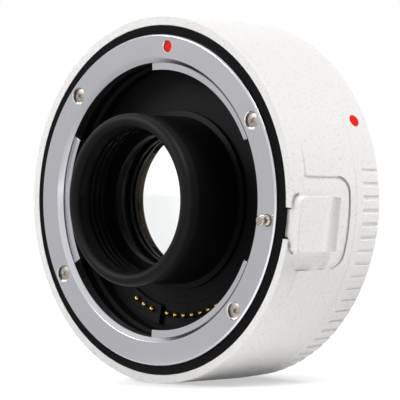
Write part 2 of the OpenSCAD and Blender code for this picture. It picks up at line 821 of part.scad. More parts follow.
module lens_retaining_ring() color("#101012") lay_down()
    ring(retainer_r, glass_r, retainer_front, glass_front + sag(front_curve, retainer_r));

module lens_element_1() color("lightcyan", 0.4) lay_down() turned_glass() intersection() {
    slab(glass_front, cement_1);
    curve_behind(glass_front, front_curve);
    curve_before(cement_1, cement_1_curve);
}

module lens_element_2() color("lightcyan", 0.4) lay_down() turned_glass() difference() {
    slab(cement_1 - sag(cement_1_curve, glass_r), flat_2);
    curve_before(cement_1, cement_1_curve);
}

module lens_element_3() color("lightcyan", 0.4) lay_down() turned_glass() intersection() {
    slab(apex_3, rear_3);
    curve_behind(apex_3, middle_curve);
    curve_before(rear_3, middle_curve);
}

module lens_element_4() color("lightcyan", 0.4) lay_down() turned_glass() intersection() {
    slab(flat_4, cement_2);
    curve_before(cement_2, cement_2_curve);
}

module lens_element_5() color("lightcyan", 0.4) lay_down() turned_glass() difference() {
    intersection() {
        slab(cement_2 - sag(cement_2_curve, glass_r), glass_rear);
        curve_before(glass_rear, rear_curve);
    }
    curve_before(cement_2, cement_2_curve);
}

module lens_spacer_1() color("#101012") lay_down()
    ring(spacer_r, glass_r, flat_2, apex_3 + sag(middle_curve, spacer_r));

module lens_spacer_2() color("#101012") lay_down()
    ring(spacer_r, glass_r, rear_3 - sag(middle_curve, spacer_r), flat_4);

module front_contact_block() color("#18181a") lay_down() difference() {
    union() {
        arc(block_in_r, block_out_r, floor_depth, block_rear, block_from, block_to);
        arc(step_in_r, block_out_r, floor_depth - step_h, floor_depth + weld, block_from, step_to);
        arc(block_in_r - block_flange_w, block_out_r + block_flange_w, floor_rear,
            floor_rear + block_flange_t, block_from - block_ear, block_to + block_ear);
    }
    around(contact_angles, contact_r) {
        rod(contact_rad + run_gap, floor_depth - step_h - over, block_rear);
        rod(collar_r + run_gap, collar_front, block_rear + over);
    }
    around(block_screw_angles, contact_r)
        rod(small_shank_r + fit_gap, floor_rear - over, floor_rear + block_flange_t + over);
}

module contact_block_screws() color("dimgray") lay_down()
    around(block_screw_angles, contact_r)
        rear_screw(floor_rear + block_flange_t, block_flange_t + floor_t - screw_web);

// One contact: a round-ended pin with a collar that stops against the block
module contact_pin(i) color("gold") lay_down()
    around([contact_angles[i]], contact_r) {
        face = i < step_count ? floor_depth - step_h : floor_depth;
        rod(contact_rad, face - contact_proud + contact_rad, collar_rear);
        at_depth(face - contact_proud + contact_rad) sphere(contact_rad);
        rod(collar_r, collar_front, collar_rear);
    }

module contact_springs() color("silver") lay_down()
    around(contact_angles, contact_r)
        at_depth(block_rear)
            coil(collar_r - contact_wire, contact_wire, block_rear - collar_rear, contact_turns, 8, 4);

module front_flex() color("darkorange") lay_down() {
    arc(block_in_r + flex_margin, block_out_r - flex_margin, block_rear, block_rear + flex_t, block_from,
        block_to);
    arc(block_out_r - flex_margin - weld, flex_tab_r, block_rear, block_rear + flex_t, flex_from, flex_to);
    arc(flex_tab_r - flex_t, flex_tab_r, block_rear, board_front, flex_from, flex_to);
}

module main_board() color("darkgreen") lay_down() difference() {
    ring(board_in_r, board_out_r, board_front, board_rear);
    level_box(arm_x - over, board_out_r + over, board_notch_w, board_front - over, board_rear + over);
    around(board_screw_angles, board_screw_r)
        rod(small_shank_r + fit_gap, board_front - over, board_rear + over);
}

module controller_chip() color("#222224") lay_down()
    rotate(chip_angle)
        level_box(chip_r - chip_w / 2, chip_r + chip_w / 2, chip_w, board_rear, board_rear + chip_t);

module board_connectors() color("ivory") lay_down() {
    arc(flex_tab_r, flex_tab_r + connector_w, board_front - connector_t, board_front, flex_from, flex_to);
    arc(rear_flex_r, rear_flex_r + connector_w, board_rear, board_rear + connector_t, flex_from, flex_to);
}

module board_screws() color("dimgray") lay_down()
    around(board_screw_angles, board_screw_r)
        at_depth(board_front)
            screw(small_head_r, small_head_h, small_shank_r, board_t + ledge_t);

module rear_flex() color("darkorange") lay_down()
    arc(rear_flex_r - flex_t, rear_flex_r, board_rear, chassis_rear, flex_from, flex_to);

module rear_mount_ring() color("silver") lay_down() difference() {
    union() {
        turned([[male_in_r, chassis_rear], [flange_r, chassis_rear], [flange_r, flange_gap - chrome_edge],
            [flange_r - chrome_edge, flange_gap], [male_r, flange_gap], [male_r, male_rear],
            [male_in_r, male_rear]]);
        lugs(male_r - male_wall / 2, male_lug_r, male_rear - male_lug_t, male_rear,
            [for (a = lug_angles) male_lug_span]);
    }
    around(mount_screws, mount_screw_r) at_depth(flange_gap) mirror([0, 0, 1]) mount_screw_hole();
    around([0], lock_pin_r) rod(pin_r + run_gap, chassis_rear - over, flange_gap + over);
}

module rear_mount_screws() color("lightgray") lay_down()
    around(mount_screws, mount_screw_r)
        at_depth(flange_gap)
            mirror([0, 0, 1])
                mount_screw(rear_bite);

module rear_baffle() color("#141416") lay_down() difference() {
    end_gap = arc_angle(fit_gap, rear_block_in_r);
    turned([[funnel_in_r, funnel_front], [funnel_in_r + funnel_wall, funnel_front],
        [funnel_r + funnel_wall, chassis_rear], [funnel_flange_r, chassis_rear],
        [funnel_flange_r, chassis_rear + funnel_flange_t], [funnel_r, chassis_rear + funnel_flange_t],
        [funnel_r, chassis_rear]]);
    arc(rear_block_in_r - fit_gap, male_in_r + over, chassis_rear - over,
        chassis_rear + funnel_flange_t + over, block_from - block_ear - end_gap, block_to + block_ear + end_gap);
    around(funnel_screw_angles, funnel_screw_r)
        rod(small_shank_r + fit_gap, chassis_rear - over, chassis_rear + funnel_flange_t + over);
}

module rear_baffle_screws() color("dimgray") lay_down()
    around(funnel_screw_angles, funnel_screw_r)
        rear_screw(chassis_rear + funnel_flange_t, funnel_flange_t + small_bite);

module rear_contact_block() color("#18181a") lay_down() difference() {
    arc(rear_block_in_r, rear_block_out_r, chassis_rear, rear_block_rear, block_from - block_ear,
        block_to + block_ear);
    for (from = [block_from - 2 * block_ear, block_to])
        arc(rear_block_in_r - over, rear_block_out_r + over, chassis_rear + rear_ear_t,
            rear_block_rear + over, from, from + 2 * block_ear);
    around(block_screw_angles, funnel_screw_r)
        rod(small_shank_r + fit_gap, chassis_rear - over, chassis_rear + rear_ear_t + over);
    around(contact_angles, rear_block_mid_r)
        rod(pad_r + fit_gap, rear_block_rear + pad_proud - pad_t, rear_block_rear + over);
}

module rear_contact_pads() color("gold") lay_down()
    around(contact_angles, rear_block_mid_r)
        rod(pad_r, rear_block_rear + pad_proud - pad_t, rear_block_rear + pad_proud);

module rear_contact_screws() color("dimgray") lay_down()
    around(block_screw_angles, funnel_screw_r)
        rear_screw(chassis_rear + rear_ear_t, rear_ear_t + small_bite);

module release_lever() color("white") lay_down() difference() {
    union() {
        rounded_plate(lever_x, lever_top, lever_w, lever_front, lever_rear, lever_front_round,
            lever_rear_round);
        level_box(foot_x, lever_x + weld, foot_w, lever_front, foot_rear);
        level_box(tongue_x, foot_x + weld, tongue_w, lever_front, foot_rear);
    }
    translate([lever_top + scoop_r - scoop_h, 0, flange_gap - scoop_depth])
        rotate([90, 0, 0])
            cylinder(r = scoop_r, h = lever_w + 2 * over, center = true);
    lever_screw_holes();
}

// Seats of the two lever screws, sunk into the stem, their own +Z pointing out of the barrel
module lever_screw_places()
    for (d = lever_screw_depths)
        outwards(d, lever_screw_x)
            children();

module lever_screw_holes()
    lever_screw_places() {
        cylinder(r = lever_screw_r + fit_gap, h = lever_screw_len + fit_gap);
        translate([0, 0, -lever_screw_head_h - over])
            cylinder(r = lever_screw_head_r + fit_gap, h = lever_screw_head_h + over);
    }

module lever_carrier() color("gray") lay_down() difference() {
    union() {
        level_box(stem_x, lever_x, stem_w, stem_front, stem_rear);
        level_box(arm_x, stem_x + weld, arm_w, arm_front, arm_rear);
    }
    around([0], lock_pin_r) rod(pin_r + fit_gap, arm_front - over, arm_rear + over);
    lever_screw_holes();
}

module lever_screws() color("dimgray") lay_down()
    lever_screw_places()
        mirror([0, 0, 1])
            screw(lever_screw_head_r, lever_screw_head_h, lever_screw_r, lever_screw_len);

module lock_pin() color("lightgray") lay_down()
    around([0], lock_pin_r) {
        tip = -lock_pin_proud;
        neck = tip / 2;
        neck_r = pin_r - pin_groove;
        turned([[0, tip], [pin_r - pin_edge, tip], [pin_r, tip + pin_edge], [pin_r, neck],
            [neck_r, neck + pin_groove], [neck_r, neck + 2 * pin_groove], [pin_r, neck + 3 * pin_groove],
            [pin_r, arm_front - pin_collar_t], [pin_collar_r, arm_front - pin_collar_t],
            [pin_collar_r, arm_front], [pin_r, arm_front], [pin_r, pin_tail], [0, pin_tail]]);
    }

module lock_spring() color("silver") lay_down()
    around([0], lock_pin_r)
        at_depth(spring_seat)
            coil(lock_coil_r, lock_wire, spring_seat - arm_rear, lock_turns, 12, 6);

front_barrel();
rear_grip_ring();
barrel_index_dot();
barrel_screws();
chassis();
front_mount_ring();
front_mount_screws();
front_index_dot();
front_trim_ring();
bayonet_leaf_spring();
front_inner_cover();
cover_screws();
nose_tube();
nose_bumper();
nose_lock_ring();
lens_cell();
lens_retaining_ring();
lens_element_1();
lens_element_2();
lens_element_3();
lens_element_4();
lens_element_5();
lens_spacer_1();
lens_spacer_2();
front_contact_block();
contact_block_screws();
contact_springs();
contact_pin(0);  // contact_pin_01
contact_pin(1);  // contact_pin_02
contact_pin(2);  // contact_pin_03
contact_pin(3);  // contact_pin_04
contact_pin(4);  // contact_pin_05
contact_pin(5);  // contact_pin_06
contact_pin(6);  // contact_pin_07
contact_pin(7);  // contact_pin_08
contact_pin(8);  // contact_pin_09
contact_pin(9);  // contact_pin_10
contact_pin(10);  // contact_pin_11
front_flex();
main_board();
controller_chip();
board_connectors();
board_screws();
rear_flex();
rear_mount_ring();
rear_mount_screws();
rear_baffle();
rear_baffle_screws();
rear_contact_block();
rear_contact_pads();
rear_contact_screws();
release_lever();
lever_carrier();
lever_screws();
lock_pin();
lock_spring();
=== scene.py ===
# %% [markdown]
# # A white teleconverter
# The solids of the part come in first, as a fixed frame. They are the truth about sizes and
# places, so nothing below moves them. Some of them only get a finish. Others are hidden, and a
# piece with softer edges is modelled in the same place. A CAD solid has knife-sharp corners, and
# real corners are a little round: that is where the light catches.

# %% Load the frame
import json
import math

import bmesh
import bpy
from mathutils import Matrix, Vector

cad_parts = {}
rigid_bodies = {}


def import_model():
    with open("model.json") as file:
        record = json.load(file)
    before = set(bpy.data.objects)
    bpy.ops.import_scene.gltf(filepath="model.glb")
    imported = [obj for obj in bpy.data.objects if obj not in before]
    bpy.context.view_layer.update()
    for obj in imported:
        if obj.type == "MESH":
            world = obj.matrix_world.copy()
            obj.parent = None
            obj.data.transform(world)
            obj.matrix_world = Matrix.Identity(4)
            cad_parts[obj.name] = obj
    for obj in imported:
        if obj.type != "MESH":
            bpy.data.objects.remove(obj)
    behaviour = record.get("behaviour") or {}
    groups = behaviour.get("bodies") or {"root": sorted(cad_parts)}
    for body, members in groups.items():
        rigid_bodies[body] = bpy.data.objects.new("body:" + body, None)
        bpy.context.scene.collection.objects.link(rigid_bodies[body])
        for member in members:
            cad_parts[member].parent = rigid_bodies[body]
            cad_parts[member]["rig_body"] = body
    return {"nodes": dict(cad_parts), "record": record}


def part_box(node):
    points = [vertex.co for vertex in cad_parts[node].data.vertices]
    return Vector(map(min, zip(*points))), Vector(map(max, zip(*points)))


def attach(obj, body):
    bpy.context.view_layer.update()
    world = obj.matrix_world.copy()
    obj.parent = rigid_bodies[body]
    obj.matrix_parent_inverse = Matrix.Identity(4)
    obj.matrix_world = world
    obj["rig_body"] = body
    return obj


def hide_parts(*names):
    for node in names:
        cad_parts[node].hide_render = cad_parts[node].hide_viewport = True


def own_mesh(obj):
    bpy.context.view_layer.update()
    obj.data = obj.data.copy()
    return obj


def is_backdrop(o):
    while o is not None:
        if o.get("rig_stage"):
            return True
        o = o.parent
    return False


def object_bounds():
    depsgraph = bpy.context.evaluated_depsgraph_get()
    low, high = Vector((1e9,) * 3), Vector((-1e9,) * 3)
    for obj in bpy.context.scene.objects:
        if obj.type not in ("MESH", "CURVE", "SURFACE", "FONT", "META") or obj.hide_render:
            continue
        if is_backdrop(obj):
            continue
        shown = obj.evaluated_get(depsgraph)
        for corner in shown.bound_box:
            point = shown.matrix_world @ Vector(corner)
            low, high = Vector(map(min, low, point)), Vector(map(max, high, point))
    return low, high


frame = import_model()
cad_low, cad_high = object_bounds()
MM = 0.001
SLOT_OF = {row["node"]: row["material_slot"] for row in frame["record"]["subparts"]}
box_sides = [round(side / MM, 2) for side in cad_high - cad_low]
print("nodes", len(frame["nodes"]), "box in mm", box_sides)

# %% [markdown]
# ## Reading sizes from the frame
# The converter is mostly turned work about one axis, which lies along Y. So a few small rulers are
# enough: one gives a node's radii and ends, one gives the angle and distance of a node that sits
# beside the axis, and one gives a node's corners. Angles count from +X towards +Z, which is
# anticlockwise as the lens sees it. The layout of dot, screws and lever is turned a little, and
# `level` is the angle of the line on which the release lever and its pin sit.


# %% Rulers
def turned_size(node):
    """Inner radius, outer radius, front and rear of a node about the optical axis, in mm."""
    spots = [vertex.co / MM for vertex in frame["nodes"][node].data.vertices]
    radii = [math.hypot(spot.x, spot.z) for spot in spots]
    return min(radii), max(radii), min(spot.y for spot in spots), max(spot.y for spot in spots)


def polar(node):
    """Angle in degrees and distance in millimetres from the optical axis to a node's middle."""
    low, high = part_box(node)
    middle = (low + high) / 2
    return math.degrees(math.atan2(middle.z, middle.x)), math.hypot(middle.x, middle.z) / MM


index_angle, index_r = polar("front_index_dot")
level = index_angle - 90


def levelled(node):
    """Lowest and highest corner of a node in mm, turned so that the lever's line lies along +X."""
    turn = math.radians(level)
    spots = [vertex.co / MM for vertex in frame["nodes"][node].data.vertices]
    outs = [spot.x * math.cos(turn) + spot.z * math.sin(turn) for spot in spots]
    ups = [spot.z * math.cos(turn) - spot.x * math.sin(turn) for spot in spots]
    ys = [spot.y for spot in spots]
    return Vector((min(outs), min(ys), min(ups))), Vector((max(outs), max(ys), max(ups)))


lug_in_r, flange_r, lens_face, ring_rear = turned_size("front_mount_ring")
barrel_in_r, barrel_r, rim_front, tail_rear = turned_size("front_barrel")
_, _, seam, grip_rear = turned_size("rear_grip_ring")
print("level line at", round(level, 2), "lens flange at", round(lens_face, 2),
      "barrel radius", round(barrel_r, 2))

# %% [markdown]
# ## The camera
# The picture was taken from the converter's own height, about 45 degrees off its axis, with a long
# lens: the two rims hardly shrink with distance. A long lens is 200 mm or more on a 36 mm sensor.
# The camera is placed by its distance to the middle of the chrome face, and then turned a little to
# the right, so that the ring sits left of the middle.

# %% Camera
VIEW_SIDE = 45.42
VIEW_DISTANCE = 470.8 * MM
PAN_RIGHT = 1.114
SENSOR_WIDTH = 36
FOCAL_LENGTH = 216
NEAREST_SEEN = 0.01
view_turn = math.radians(VIEW_SIDE)
sight = Vector((-math.sin(view_turn), math.cos(view_turn), 0))
bpy.ops.object.camera_add(
    location=Vector((0, lens_face * MM, 0)) - sight * VIEW_DISTANCE,
    rotation=(math.radians(90), 0, math.radians(VIEW_SIDE - PAN_RIGHT)),
)
camera = bpy.context.object
camera.data.sensor_width = SENSOR_WIDTH
camera.data.lens = FOCAL_LENGTH
camera.data.clip_start = NEAREST_SEEN
bpy.context.scene.camera = camera
bpy.context.scene.view_settings.view_transform = "Standard"
print("camera at", [round(part, 3) for part in camera.location])

# %% [markdown]
# ## Colours and nodes
# Colours are written as the hex values that a paint chart gives. Blender mixes light in linear
# numbers, so one function turns the hex value to linear. Another adds a node: it takes the node's
# settings, and a value or a link for each input. With these two, a material reads as a list.


# %% Helpers for materials
def linear(code):
    """A colour such as "#EFEDEB" as linear red, green, blue and alpha."""
    parts = [int(code[at:at + 2], 16) / 255 for at in (1, 3, 5)]
    return [part / 12.92 if part <= 0.04045 else ((part + 0.055) / 1.055) ** 2.4
            for part in parts] + [1.0]


def add(tree, kind, inputs, **settings):
    """Adds a node, sets it, and fills its inputs with values or with links from other sockets."""
    made = tree.nodes.new(kind)
    for name, value in settings.items():
        setattr(made, name, value)
    for name, value in inputs.items():
        if isinstance(value, bpy.types.NodeSocket):
            tree.links.new(value, made.inputs[name])
        else:
            made.inputs[name].default_value = value
    return made


def new_material(name):
    """An empty material and its node tree, with the place on the piece as a socket."""
    material = bpy.data.materials.new(name)
    material.use_nodes = True
    material.node_tree.nodes.clear()
    place = add(material.node_tree, "ShaderNodeTexCoord", {}).outputs["Object"]
    return material, material.node_tree, place


def show(tree, shader):
    """Sends a shader to the surface."""
    add(tree, "ShaderNodeOutputMaterial", {"Surface": shader.outputs[0]})


def per_mm(size):
    """Scale of a pattern whose grains are this many millimetres wide."""
    return 1 / (size * MM)


FINISH = {}

# %% [markdown]
# ## White enamel
# The barrel, the grip and the lever are painted with a textured enamel: a warm white film with a
# fine grit in it. The grit could be modelled, but it is only a quarter of a millimetre wide, so it
# lives in the material: one noise lifts the surface, and a second one lays a few greyer specks
# where the film is thin.

# %% White enamel
GRIT = 0.24
SPECK = 0.42
enamel, tree, place = new_material("textured white enamel")
grit = add(tree, "ShaderNodeTexNoise", {
    "Vector": place, "Scale": per_mm(GRIT), "Detail": 3.0, "Roughness": 0.6})
speck = add(tree, "ShaderNodeTexNoise", {"Vector": place, "Scale": per_mm(SPECK), "Detail": 2.0})
colour = add(tree, "ShaderNodeValToRGB", {"Fac": speck.outputs["Fac"]})
colour.color_ramp.elements[0].position = 0.30
colour.color_ramp.elements[0].color = linear("#E0DDDA")
colour.color_ramp.elements[1].position = 0.44
colour.color_ramp.elements[1].color = linear("#F1EFED")
lift = add(tree, "ShaderNodeBump", {
    "Strength": 0.22, "Distance": 0.04 * MM, "Height": grit.outputs["Fac"]})
show(tree, add(tree, "ShaderNodeBsdfPrincipled", {
    "Base Color": colour.outputs["Color"], "Roughness": 0.55, "Specular IOR Level": 0.35,
    "IOR": 1.5, "Normal": lift.outputs["Normal"]}))
FINISH["white_enamel"] = enamel

# %% [markdown]
# ## Chrome, steel and gold
# The bayonet rings are brass, turned on a lathe and plated with satin chrome. A lathe leaves rings
# about the axis, so the pattern takes only the distance from the axis: a one-dimensional noise
# along it is a set of fine circles. A broad, soft cloud changes the polish a little from place to
# place. The screws and the pin are nickel-plated steel, warmer than chrome, with small scuffs. The
# contacts have hard gold on them.

# %% Turned chrome
RING_GAP = 0.16
POLISH_CLOUD = 9
chrome, tree, place = new_material("satin chrome on turned brass")
flat = add(tree, "ShaderNodeMapping", {"Vector": place, "Scale": (1, 0, 1)})
reach = add(tree, "ShaderNodeVectorMath", {0: flat.outputs["Vector"]}, operation="LENGTH")
rings = add(tree, "ShaderNodeTexNoise", {
    "W": reach.outputs["Value"], "Scale": per_mm(RING_GAP), "Detail": 2.0}, noise_dimensions="1D")
cloud = add(tree, "ShaderNodeTexNoise", {
    "Vector": place, "Scale": per_mm(POLISH_CLOUD), "Detail": 2.0})
dull = add(tree, "ShaderNodeMapRange", {
    "Value": cloud.outputs["Fac"], "To Min": 0.16, "To Max": 0.24})
lift = add(tree, "ShaderNodeBump", {
    "Strength": 0.08, "Distance": 0.02 * MM, "Height": rings.outputs["Fac"]})
show(tree, add(tree, "ShaderNodeBsdfPrincipled", {
    "Base Color": linear("#CDCDD2"), "Metallic": 1.0, "Roughness": dull.outputs["Result"],
    "Normal": lift.outputs["Normal"]}))
FINISH["satin_chrome"] = chrome

# %% Nickel-plated steel
STEEL_SCUFF = 0.25
steel, tree, place = new_material("nickel-plated steel")
scuff = add(tree, "ShaderNodeTexNoise", {
    "Vector": place, "Scale": per_mm(STEEL_SCUFF), "Detail": 3.0})
dull = add(tree, "ShaderNodeMapRange", {
    "Value": scuff.outputs["Fac"], "To Min": 0.16, "To Max": 0.34})
lift = add(tree, "ShaderNodeBump", {
    "Strength": 0.12, "Distance": 0.02 * MM, "Height": scuff.outputs["Fac"]})
show(tree, add(tree, "ShaderNodeBsdfPrincipled", {
    "Base Color": linear("#B8AEA3"), "Metallic": 1.0, "Roughness": dull.outputs["Result"],
    "Normal": lift.outputs["Normal"]}))
FINISH["steel"] = steel

# %% Hard gold
GOLD_SCUFF = 0.15
gold, tree, place = new_material("hard gold plate")
scuff = add(tree, "ShaderNodeTexNoise", {
    "Vector": place, "Scale": per_mm(GOLD_SCUFF), "Detail": 2.0})
dull = add(tree, "ShaderNodeMapRange", {
    "Value": scuff.outputs["Fac"], "To Min": 0.18, "To Max": 0.34})
show(tree, add(tree, "ShaderNodeBsdfPrincipled", {
    "Base Color": linear("#E3B865"), "Metallic": 1.0, "Roughness": dull.outputs["Result"]}))
FINISH["gold_plate"] = gold

# %% [markdown]
# ## The blacks
# Inside, everything is black so that no stray light reaches the sensor, but not one black. The nose
# and the lens cell are anodised aluminium with a blasted, slightly silky grain. The cover and the
# lip are moulded plastic, duller and rougher. The thin ring round the chrome is lacquered and
# shines a little.

# %% Black finishes
for slot, name, code, grain, low, high, depth, shine in (
    ("black_anodised", "black anodised aluminium", "#0A090A", 0.12, 0.38, 0.52, 0.02, 0.1),
    ("black_plastic", "matt black polycarbonate", "#0B0A0B", 0.20, 0.46, 0.62, 0.03, 0.14),
    ("black_gloss", "black lacquer", "#0A090B", 0.30, 0.22, 0.32, 0.01, 0.08),
):
    black, tree, place = new_material(name)
    grains = add(tree, "ShaderNodeTexNoise", {
        "Vector": place, "Scale": per_mm(grain), "Detail": 2.0})
    dull = add(tree, "ShaderNodeMapRange", {
        "Value": grains.outputs["Fac"], "To Min": low, "To Max": high})
    lift = add(tree, "ShaderNodeBump", {
        "Strength": 0.3, "Distance": depth * MM, "Height": grains.outputs["Fac"]})
    show(tree, add(tree, "ShaderNodeBsdfPrincipled", {
        "Base Color": linear(code), "Roughness": dull.outputs["Result"],
        "Specular IOR Level": shine, "Normal": lift.outputs["Normal"]}))
    FINISH[slot] = black

# %% [markdown]
# ## Red enamel, glass and the parts on the board
# The index dots are drops of red enamel, level and a little glossy. The glass is crown glass with a
# thin coating, which takes most of its reflection away. The board, its connectors and the amber
# film circuits lie inside. When all finishes are made, each solid gets the one of its slot.

# %% Red enamel
ENAMEL_SKIN = 0.6
red, tree, place = new_material("red filling enamel")
skin = add(tree, "ShaderNodeTexNoise", {
    "Vector": place, "Scale": per_mm(ENAMEL_SKIN), "Detail": 1.0})
tone = add(tree, "ShaderNodeMix", {
    "Factor": skin.outputs["Fac"], "A": linear("#E4190F"), "B": linear("#F02416")},
    data_type="RGBA")
show(tree, add(tree, "ShaderNodeBsdfPrincipled", {
    "Base Color": tone.outputs["Result"], "Roughness": 0.4, "Specular IOR Level": 0.08}))
FINISH["red_enamel"] = red

# %% Coated glass
glass, tree, _ = new_material("coated crown glass")
show(tree, add(tree, "ShaderNodeBsdfPrincipled", {
    "Base Color": linear("#FFFFFF"), "Roughness": 0.0, "IOR": 1.5, "Transmission Weight": 1.0,
    "Specular IOR Level": 0.05, "Thin Film Thickness": 110.0, "Thin Film IOR": 1.38}))
FINISH["coated_glass"] = glass

# %% Board, film and connectors
for slot, name, low, high, grain in (
    ("circuit_board", "green solder mask on glass-fibre board", "#0F3B1E", "#1C6A35", 0.8),
    ("polyimide", "amber polyimide film", "#9A5512", "#C77D2A", 1.2),
    ("connector_plastic", "ivory nylon", "#D8D0BC", "#E6DFCE", 0.4),
):
    inner, tree, place = new_material(name)
    grains = add(tree, "ShaderNodeTexNoise", {
        "Vector": place, "Scale": per_mm(grain), "Detail": 2.0})
    tone = add(tree, "ShaderNodeMix", {
        "Factor": grains.outputs["Fac"], "A": linear(low), "B": linear(high)}, data_type="RGBA")
    show(tree, add(tree, "ShaderNodeBsdfPrincipled", {
        "Base Color": tone.outputs["Result"], "Roughness": 0.45}))
    FINISH[slot] = inner

# %% Finish the solids
for node, cad in frame["nodes"].items():
    cad.data.materials.clear()
    cad.data.materials.append(FINISH[SLOT_OF[node]])
print("finishes", len(FINISH))

# %% [markdown]
# ## Lathe, press and blocks
# Each tool below is one habit of modelling by hand. An outline is drawn by extruding one vertex
# from corner to corner. The lathe spins it about the axis, and the press pulls it to a bar. A block
# is a cube between two corners.

# %% Lathe, press and blocks
WELD = 0.002 * MM


def take(piece):
    """Makes one object the only selected and active one."""
    bpy.ops.object.select_all(action="DESELECT")
    piece.select_set(True)
    bpy.context.view_layer.objects.active = piece


def draw(name, outline):
    """Draws a closed outline of (x, y) in mm from corner to corner, and stays in edit mode."""
    bpy.ops.object.select_all(action="DESELECT")
    bpy.ops.mesh.primitive_plane_add(size=MM)
    piece = bpy.context.object
    piece.name = name
    bpy.ops.object.mode_set(mode="EDIT")
    bpy.ops.mesh.select_mode(type="VERT")
    bpy.ops.mesh.merge(type="CENTER")
    here = Vector((outline[0][0], outline[0][1], 0)) * MM
    bpy.ops.transform.translate(value=here)
    for x, y in outline[1:] + outline[:1]:
        there = Vector((x, y, 0)) * MM
        bpy.ops.mesh.extrude_region_move(TRANSFORM_OT_translate={"value": there - here})
        here = there
    bpy.ops.mesh.select_all(action="SELECT")
    bpy.ops.mesh.remove_doubles(threshold=WELD)
    return piece


def press(name, outline, half_width):
    """A bar along Z whose section is a closed outline of (x, y) in millimetres."""
    piece = draw(name, outline)
    bpy.ops.mesh.edge_face_add()
    bpy.ops.transform.translate(value=(0, 0, -half_width * MM))
    bpy.ops.mesh.extrude_region_move(TRANSFORM_OT_translate={"value": (0, 0, 2 * half_width * MM)})
    bpy.ops.mesh.select_all(action="SELECT")
    bpy.ops.mesh.normals_make_consistent(inside=False)
    bpy.ops.object.mode_set(mode="OBJECT")
    return piece


def lathe(name, outline, steps=192, sweep=360.0, rest=None):
    """Spins a closed outline of (radius, y) in mm about the Y axis, from +X on, towards +Z.

    With rest, the sweep has its own steps, and the remaining turn back to the start has that many.
    """
    piece = draw(name, outline)
    bpy.ops.mesh.spin(steps=steps, angle=math.radians(sweep), center=(0, 0, 0), axis=(0, 1, 0))
    if rest:
        bpy.ops.mesh.spin(steps=rest, angle=math.radians(360 - sweep), center=(0, 0, 0),
                          axis=(0, 1, 0))
    bpy.ops.mesh.select_all(action="SELECT")
    bpy.ops.mesh.remove_doubles(threshold=WELD)
    bpy.ops.mesh.delete_loose()
    bpy.ops.mesh.select_all(action="SELECT")
    if sweep < 360 and not rest:
        bpy.ops.mesh.fill_holes(sides=0)
        bpy.ops.mesh.select_all(action="SELECT")
    bpy.ops.mesh.normals_make_consistent(inside=False)
    bpy.ops.object.mode_set(mode="OBJECT")
    return piece


def block(name, low, high):
    """A box between two corners in millimetres."""
    low, high = Vector(low) * MM, Vector(high) * MM
    bpy.ops.object.select_all(action="DESELECT")
    bpy.ops.mesh.primitive_cube_add(size=1, location=(low + high) / 2)
    piece = bpy.context.object
    piece.name = name
    piece.scale = high - low
    bpy.ops.object.transform_apply(location=True, rotation=True, scale=True)
    return piece


def arc(centre, radius, start, end, count):
    """Points of an arc in an outline; angle 0 points outwards and 90 to the camera side."""
    turns = [math.radians(start + (end - start) * step / count) for step in range(count + 1)]
    return [(centre[0] + radius * math.cos(turn), centre[1] + radius * math.sin(turn))
            for turn in turns]


# %% [markdown]
# ## Placing, copying and sawing
# A piece is made on the axis and then moved out and turned to its angle. Its place goes into its
# mesh, so that the object itself stays at the origin, as a CAD solid does. The saw is a boolean
# modifier: it cuts one piece with another, or welds the two.


# %% Placing, copying and sawing
def settle(piece, angle=0.0, radius=0.0):
    """Moves a piece out to a radius and turns it to an angle, and leaves its place in its mesh."""
    take(piece)
    piece.location = (radius * MM, 0, 0)
    bpy.ops.object.transform_apply(location=True, rotation=True, scale=True)
    piece.rotation_euler = (0, -math.radians(angle), 0)
    bpy.ops.object.transform_apply(location=True, rotation=True, scale=True)
    return piece


def radial(piece, angle, radius, y):
    """Stands a turned piece on a cylinder: its +Y becomes the way out from the axis."""
    take(piece)
    piece.rotation_euler = (0, 0, -math.pi / 2)
    piece.location = (radius * MM, y * MM, 0)
    bpy.ops.object.transform_apply(location=True, rotation=True, scale=True)
    return settle(piece, angle)


def repeat(piece, angles, radius, spins=None):
    """Copies a piece to several angles, each spun on its own axis first, and joins the copies."""
    copies = []
    for angle, spin in zip(angles, spins or [0.0] * len(angles)):
        take(piece)
        bpy.ops.object.duplicate()
        copies.append(settle(settle(bpy.context.object, spin), angle, radius))
    name = piece.name
    bpy.data.objects.remove(piece)
    take(copies[0])
    for copy in copies:
        copy.select_set(True)
    bpy.ops.object.join()
    joined = bpy.context.object
    joined.name = name
    return joined


def saw(piece, tool, operation="DIFFERENCE"):
    """Cuts a piece with a tool, or welds the two with UNION, and removes the tool."""
    take(piece)
    cut = piece.modifiers.new("saw", "BOOLEAN")
    cut.operation = operation
    cut.object = tool
    cut.solver = "EXACT"
    bpy.ops.object.modifier_apply(modifier=cut.name)
    bpy.data.objects.remove(tool)
    return piece


def weld(piece, distance):
    """Merges the vertices that lie closer than a distance in mm, as slivers after a cut do."""
    take(piece)
    bpy.ops.object.mode_set(mode="EDIT")
    bpy.ops.mesh.select_mode(type="VERT")
    bpy.ops.mesh.select_all(action="SELECT")
    bpy.ops.mesh.remove_doubles(threshold=distance * MM)
    bpy.ops.object.mode_set(mode="OBJECT")
    return piece


# %% [markdown]
# ## Filing, polishing and handing over
# The file takes the edge off sharp corners with a bevel. Polishing shades a piece smooth, and
# weighted normals keep the large faces flat beside the bevels. At last a piece is handed over: it
# rides on the body of the CAD solid that it stands for, and takes its finish.

# %% Filing, polishing and handing over
TOUCH = 0.01
NEAR = 0.1


def touches(value, target):
    """True where a coordinate in millimetres lies at a target."""
    return abs(value - target) < TOUCH


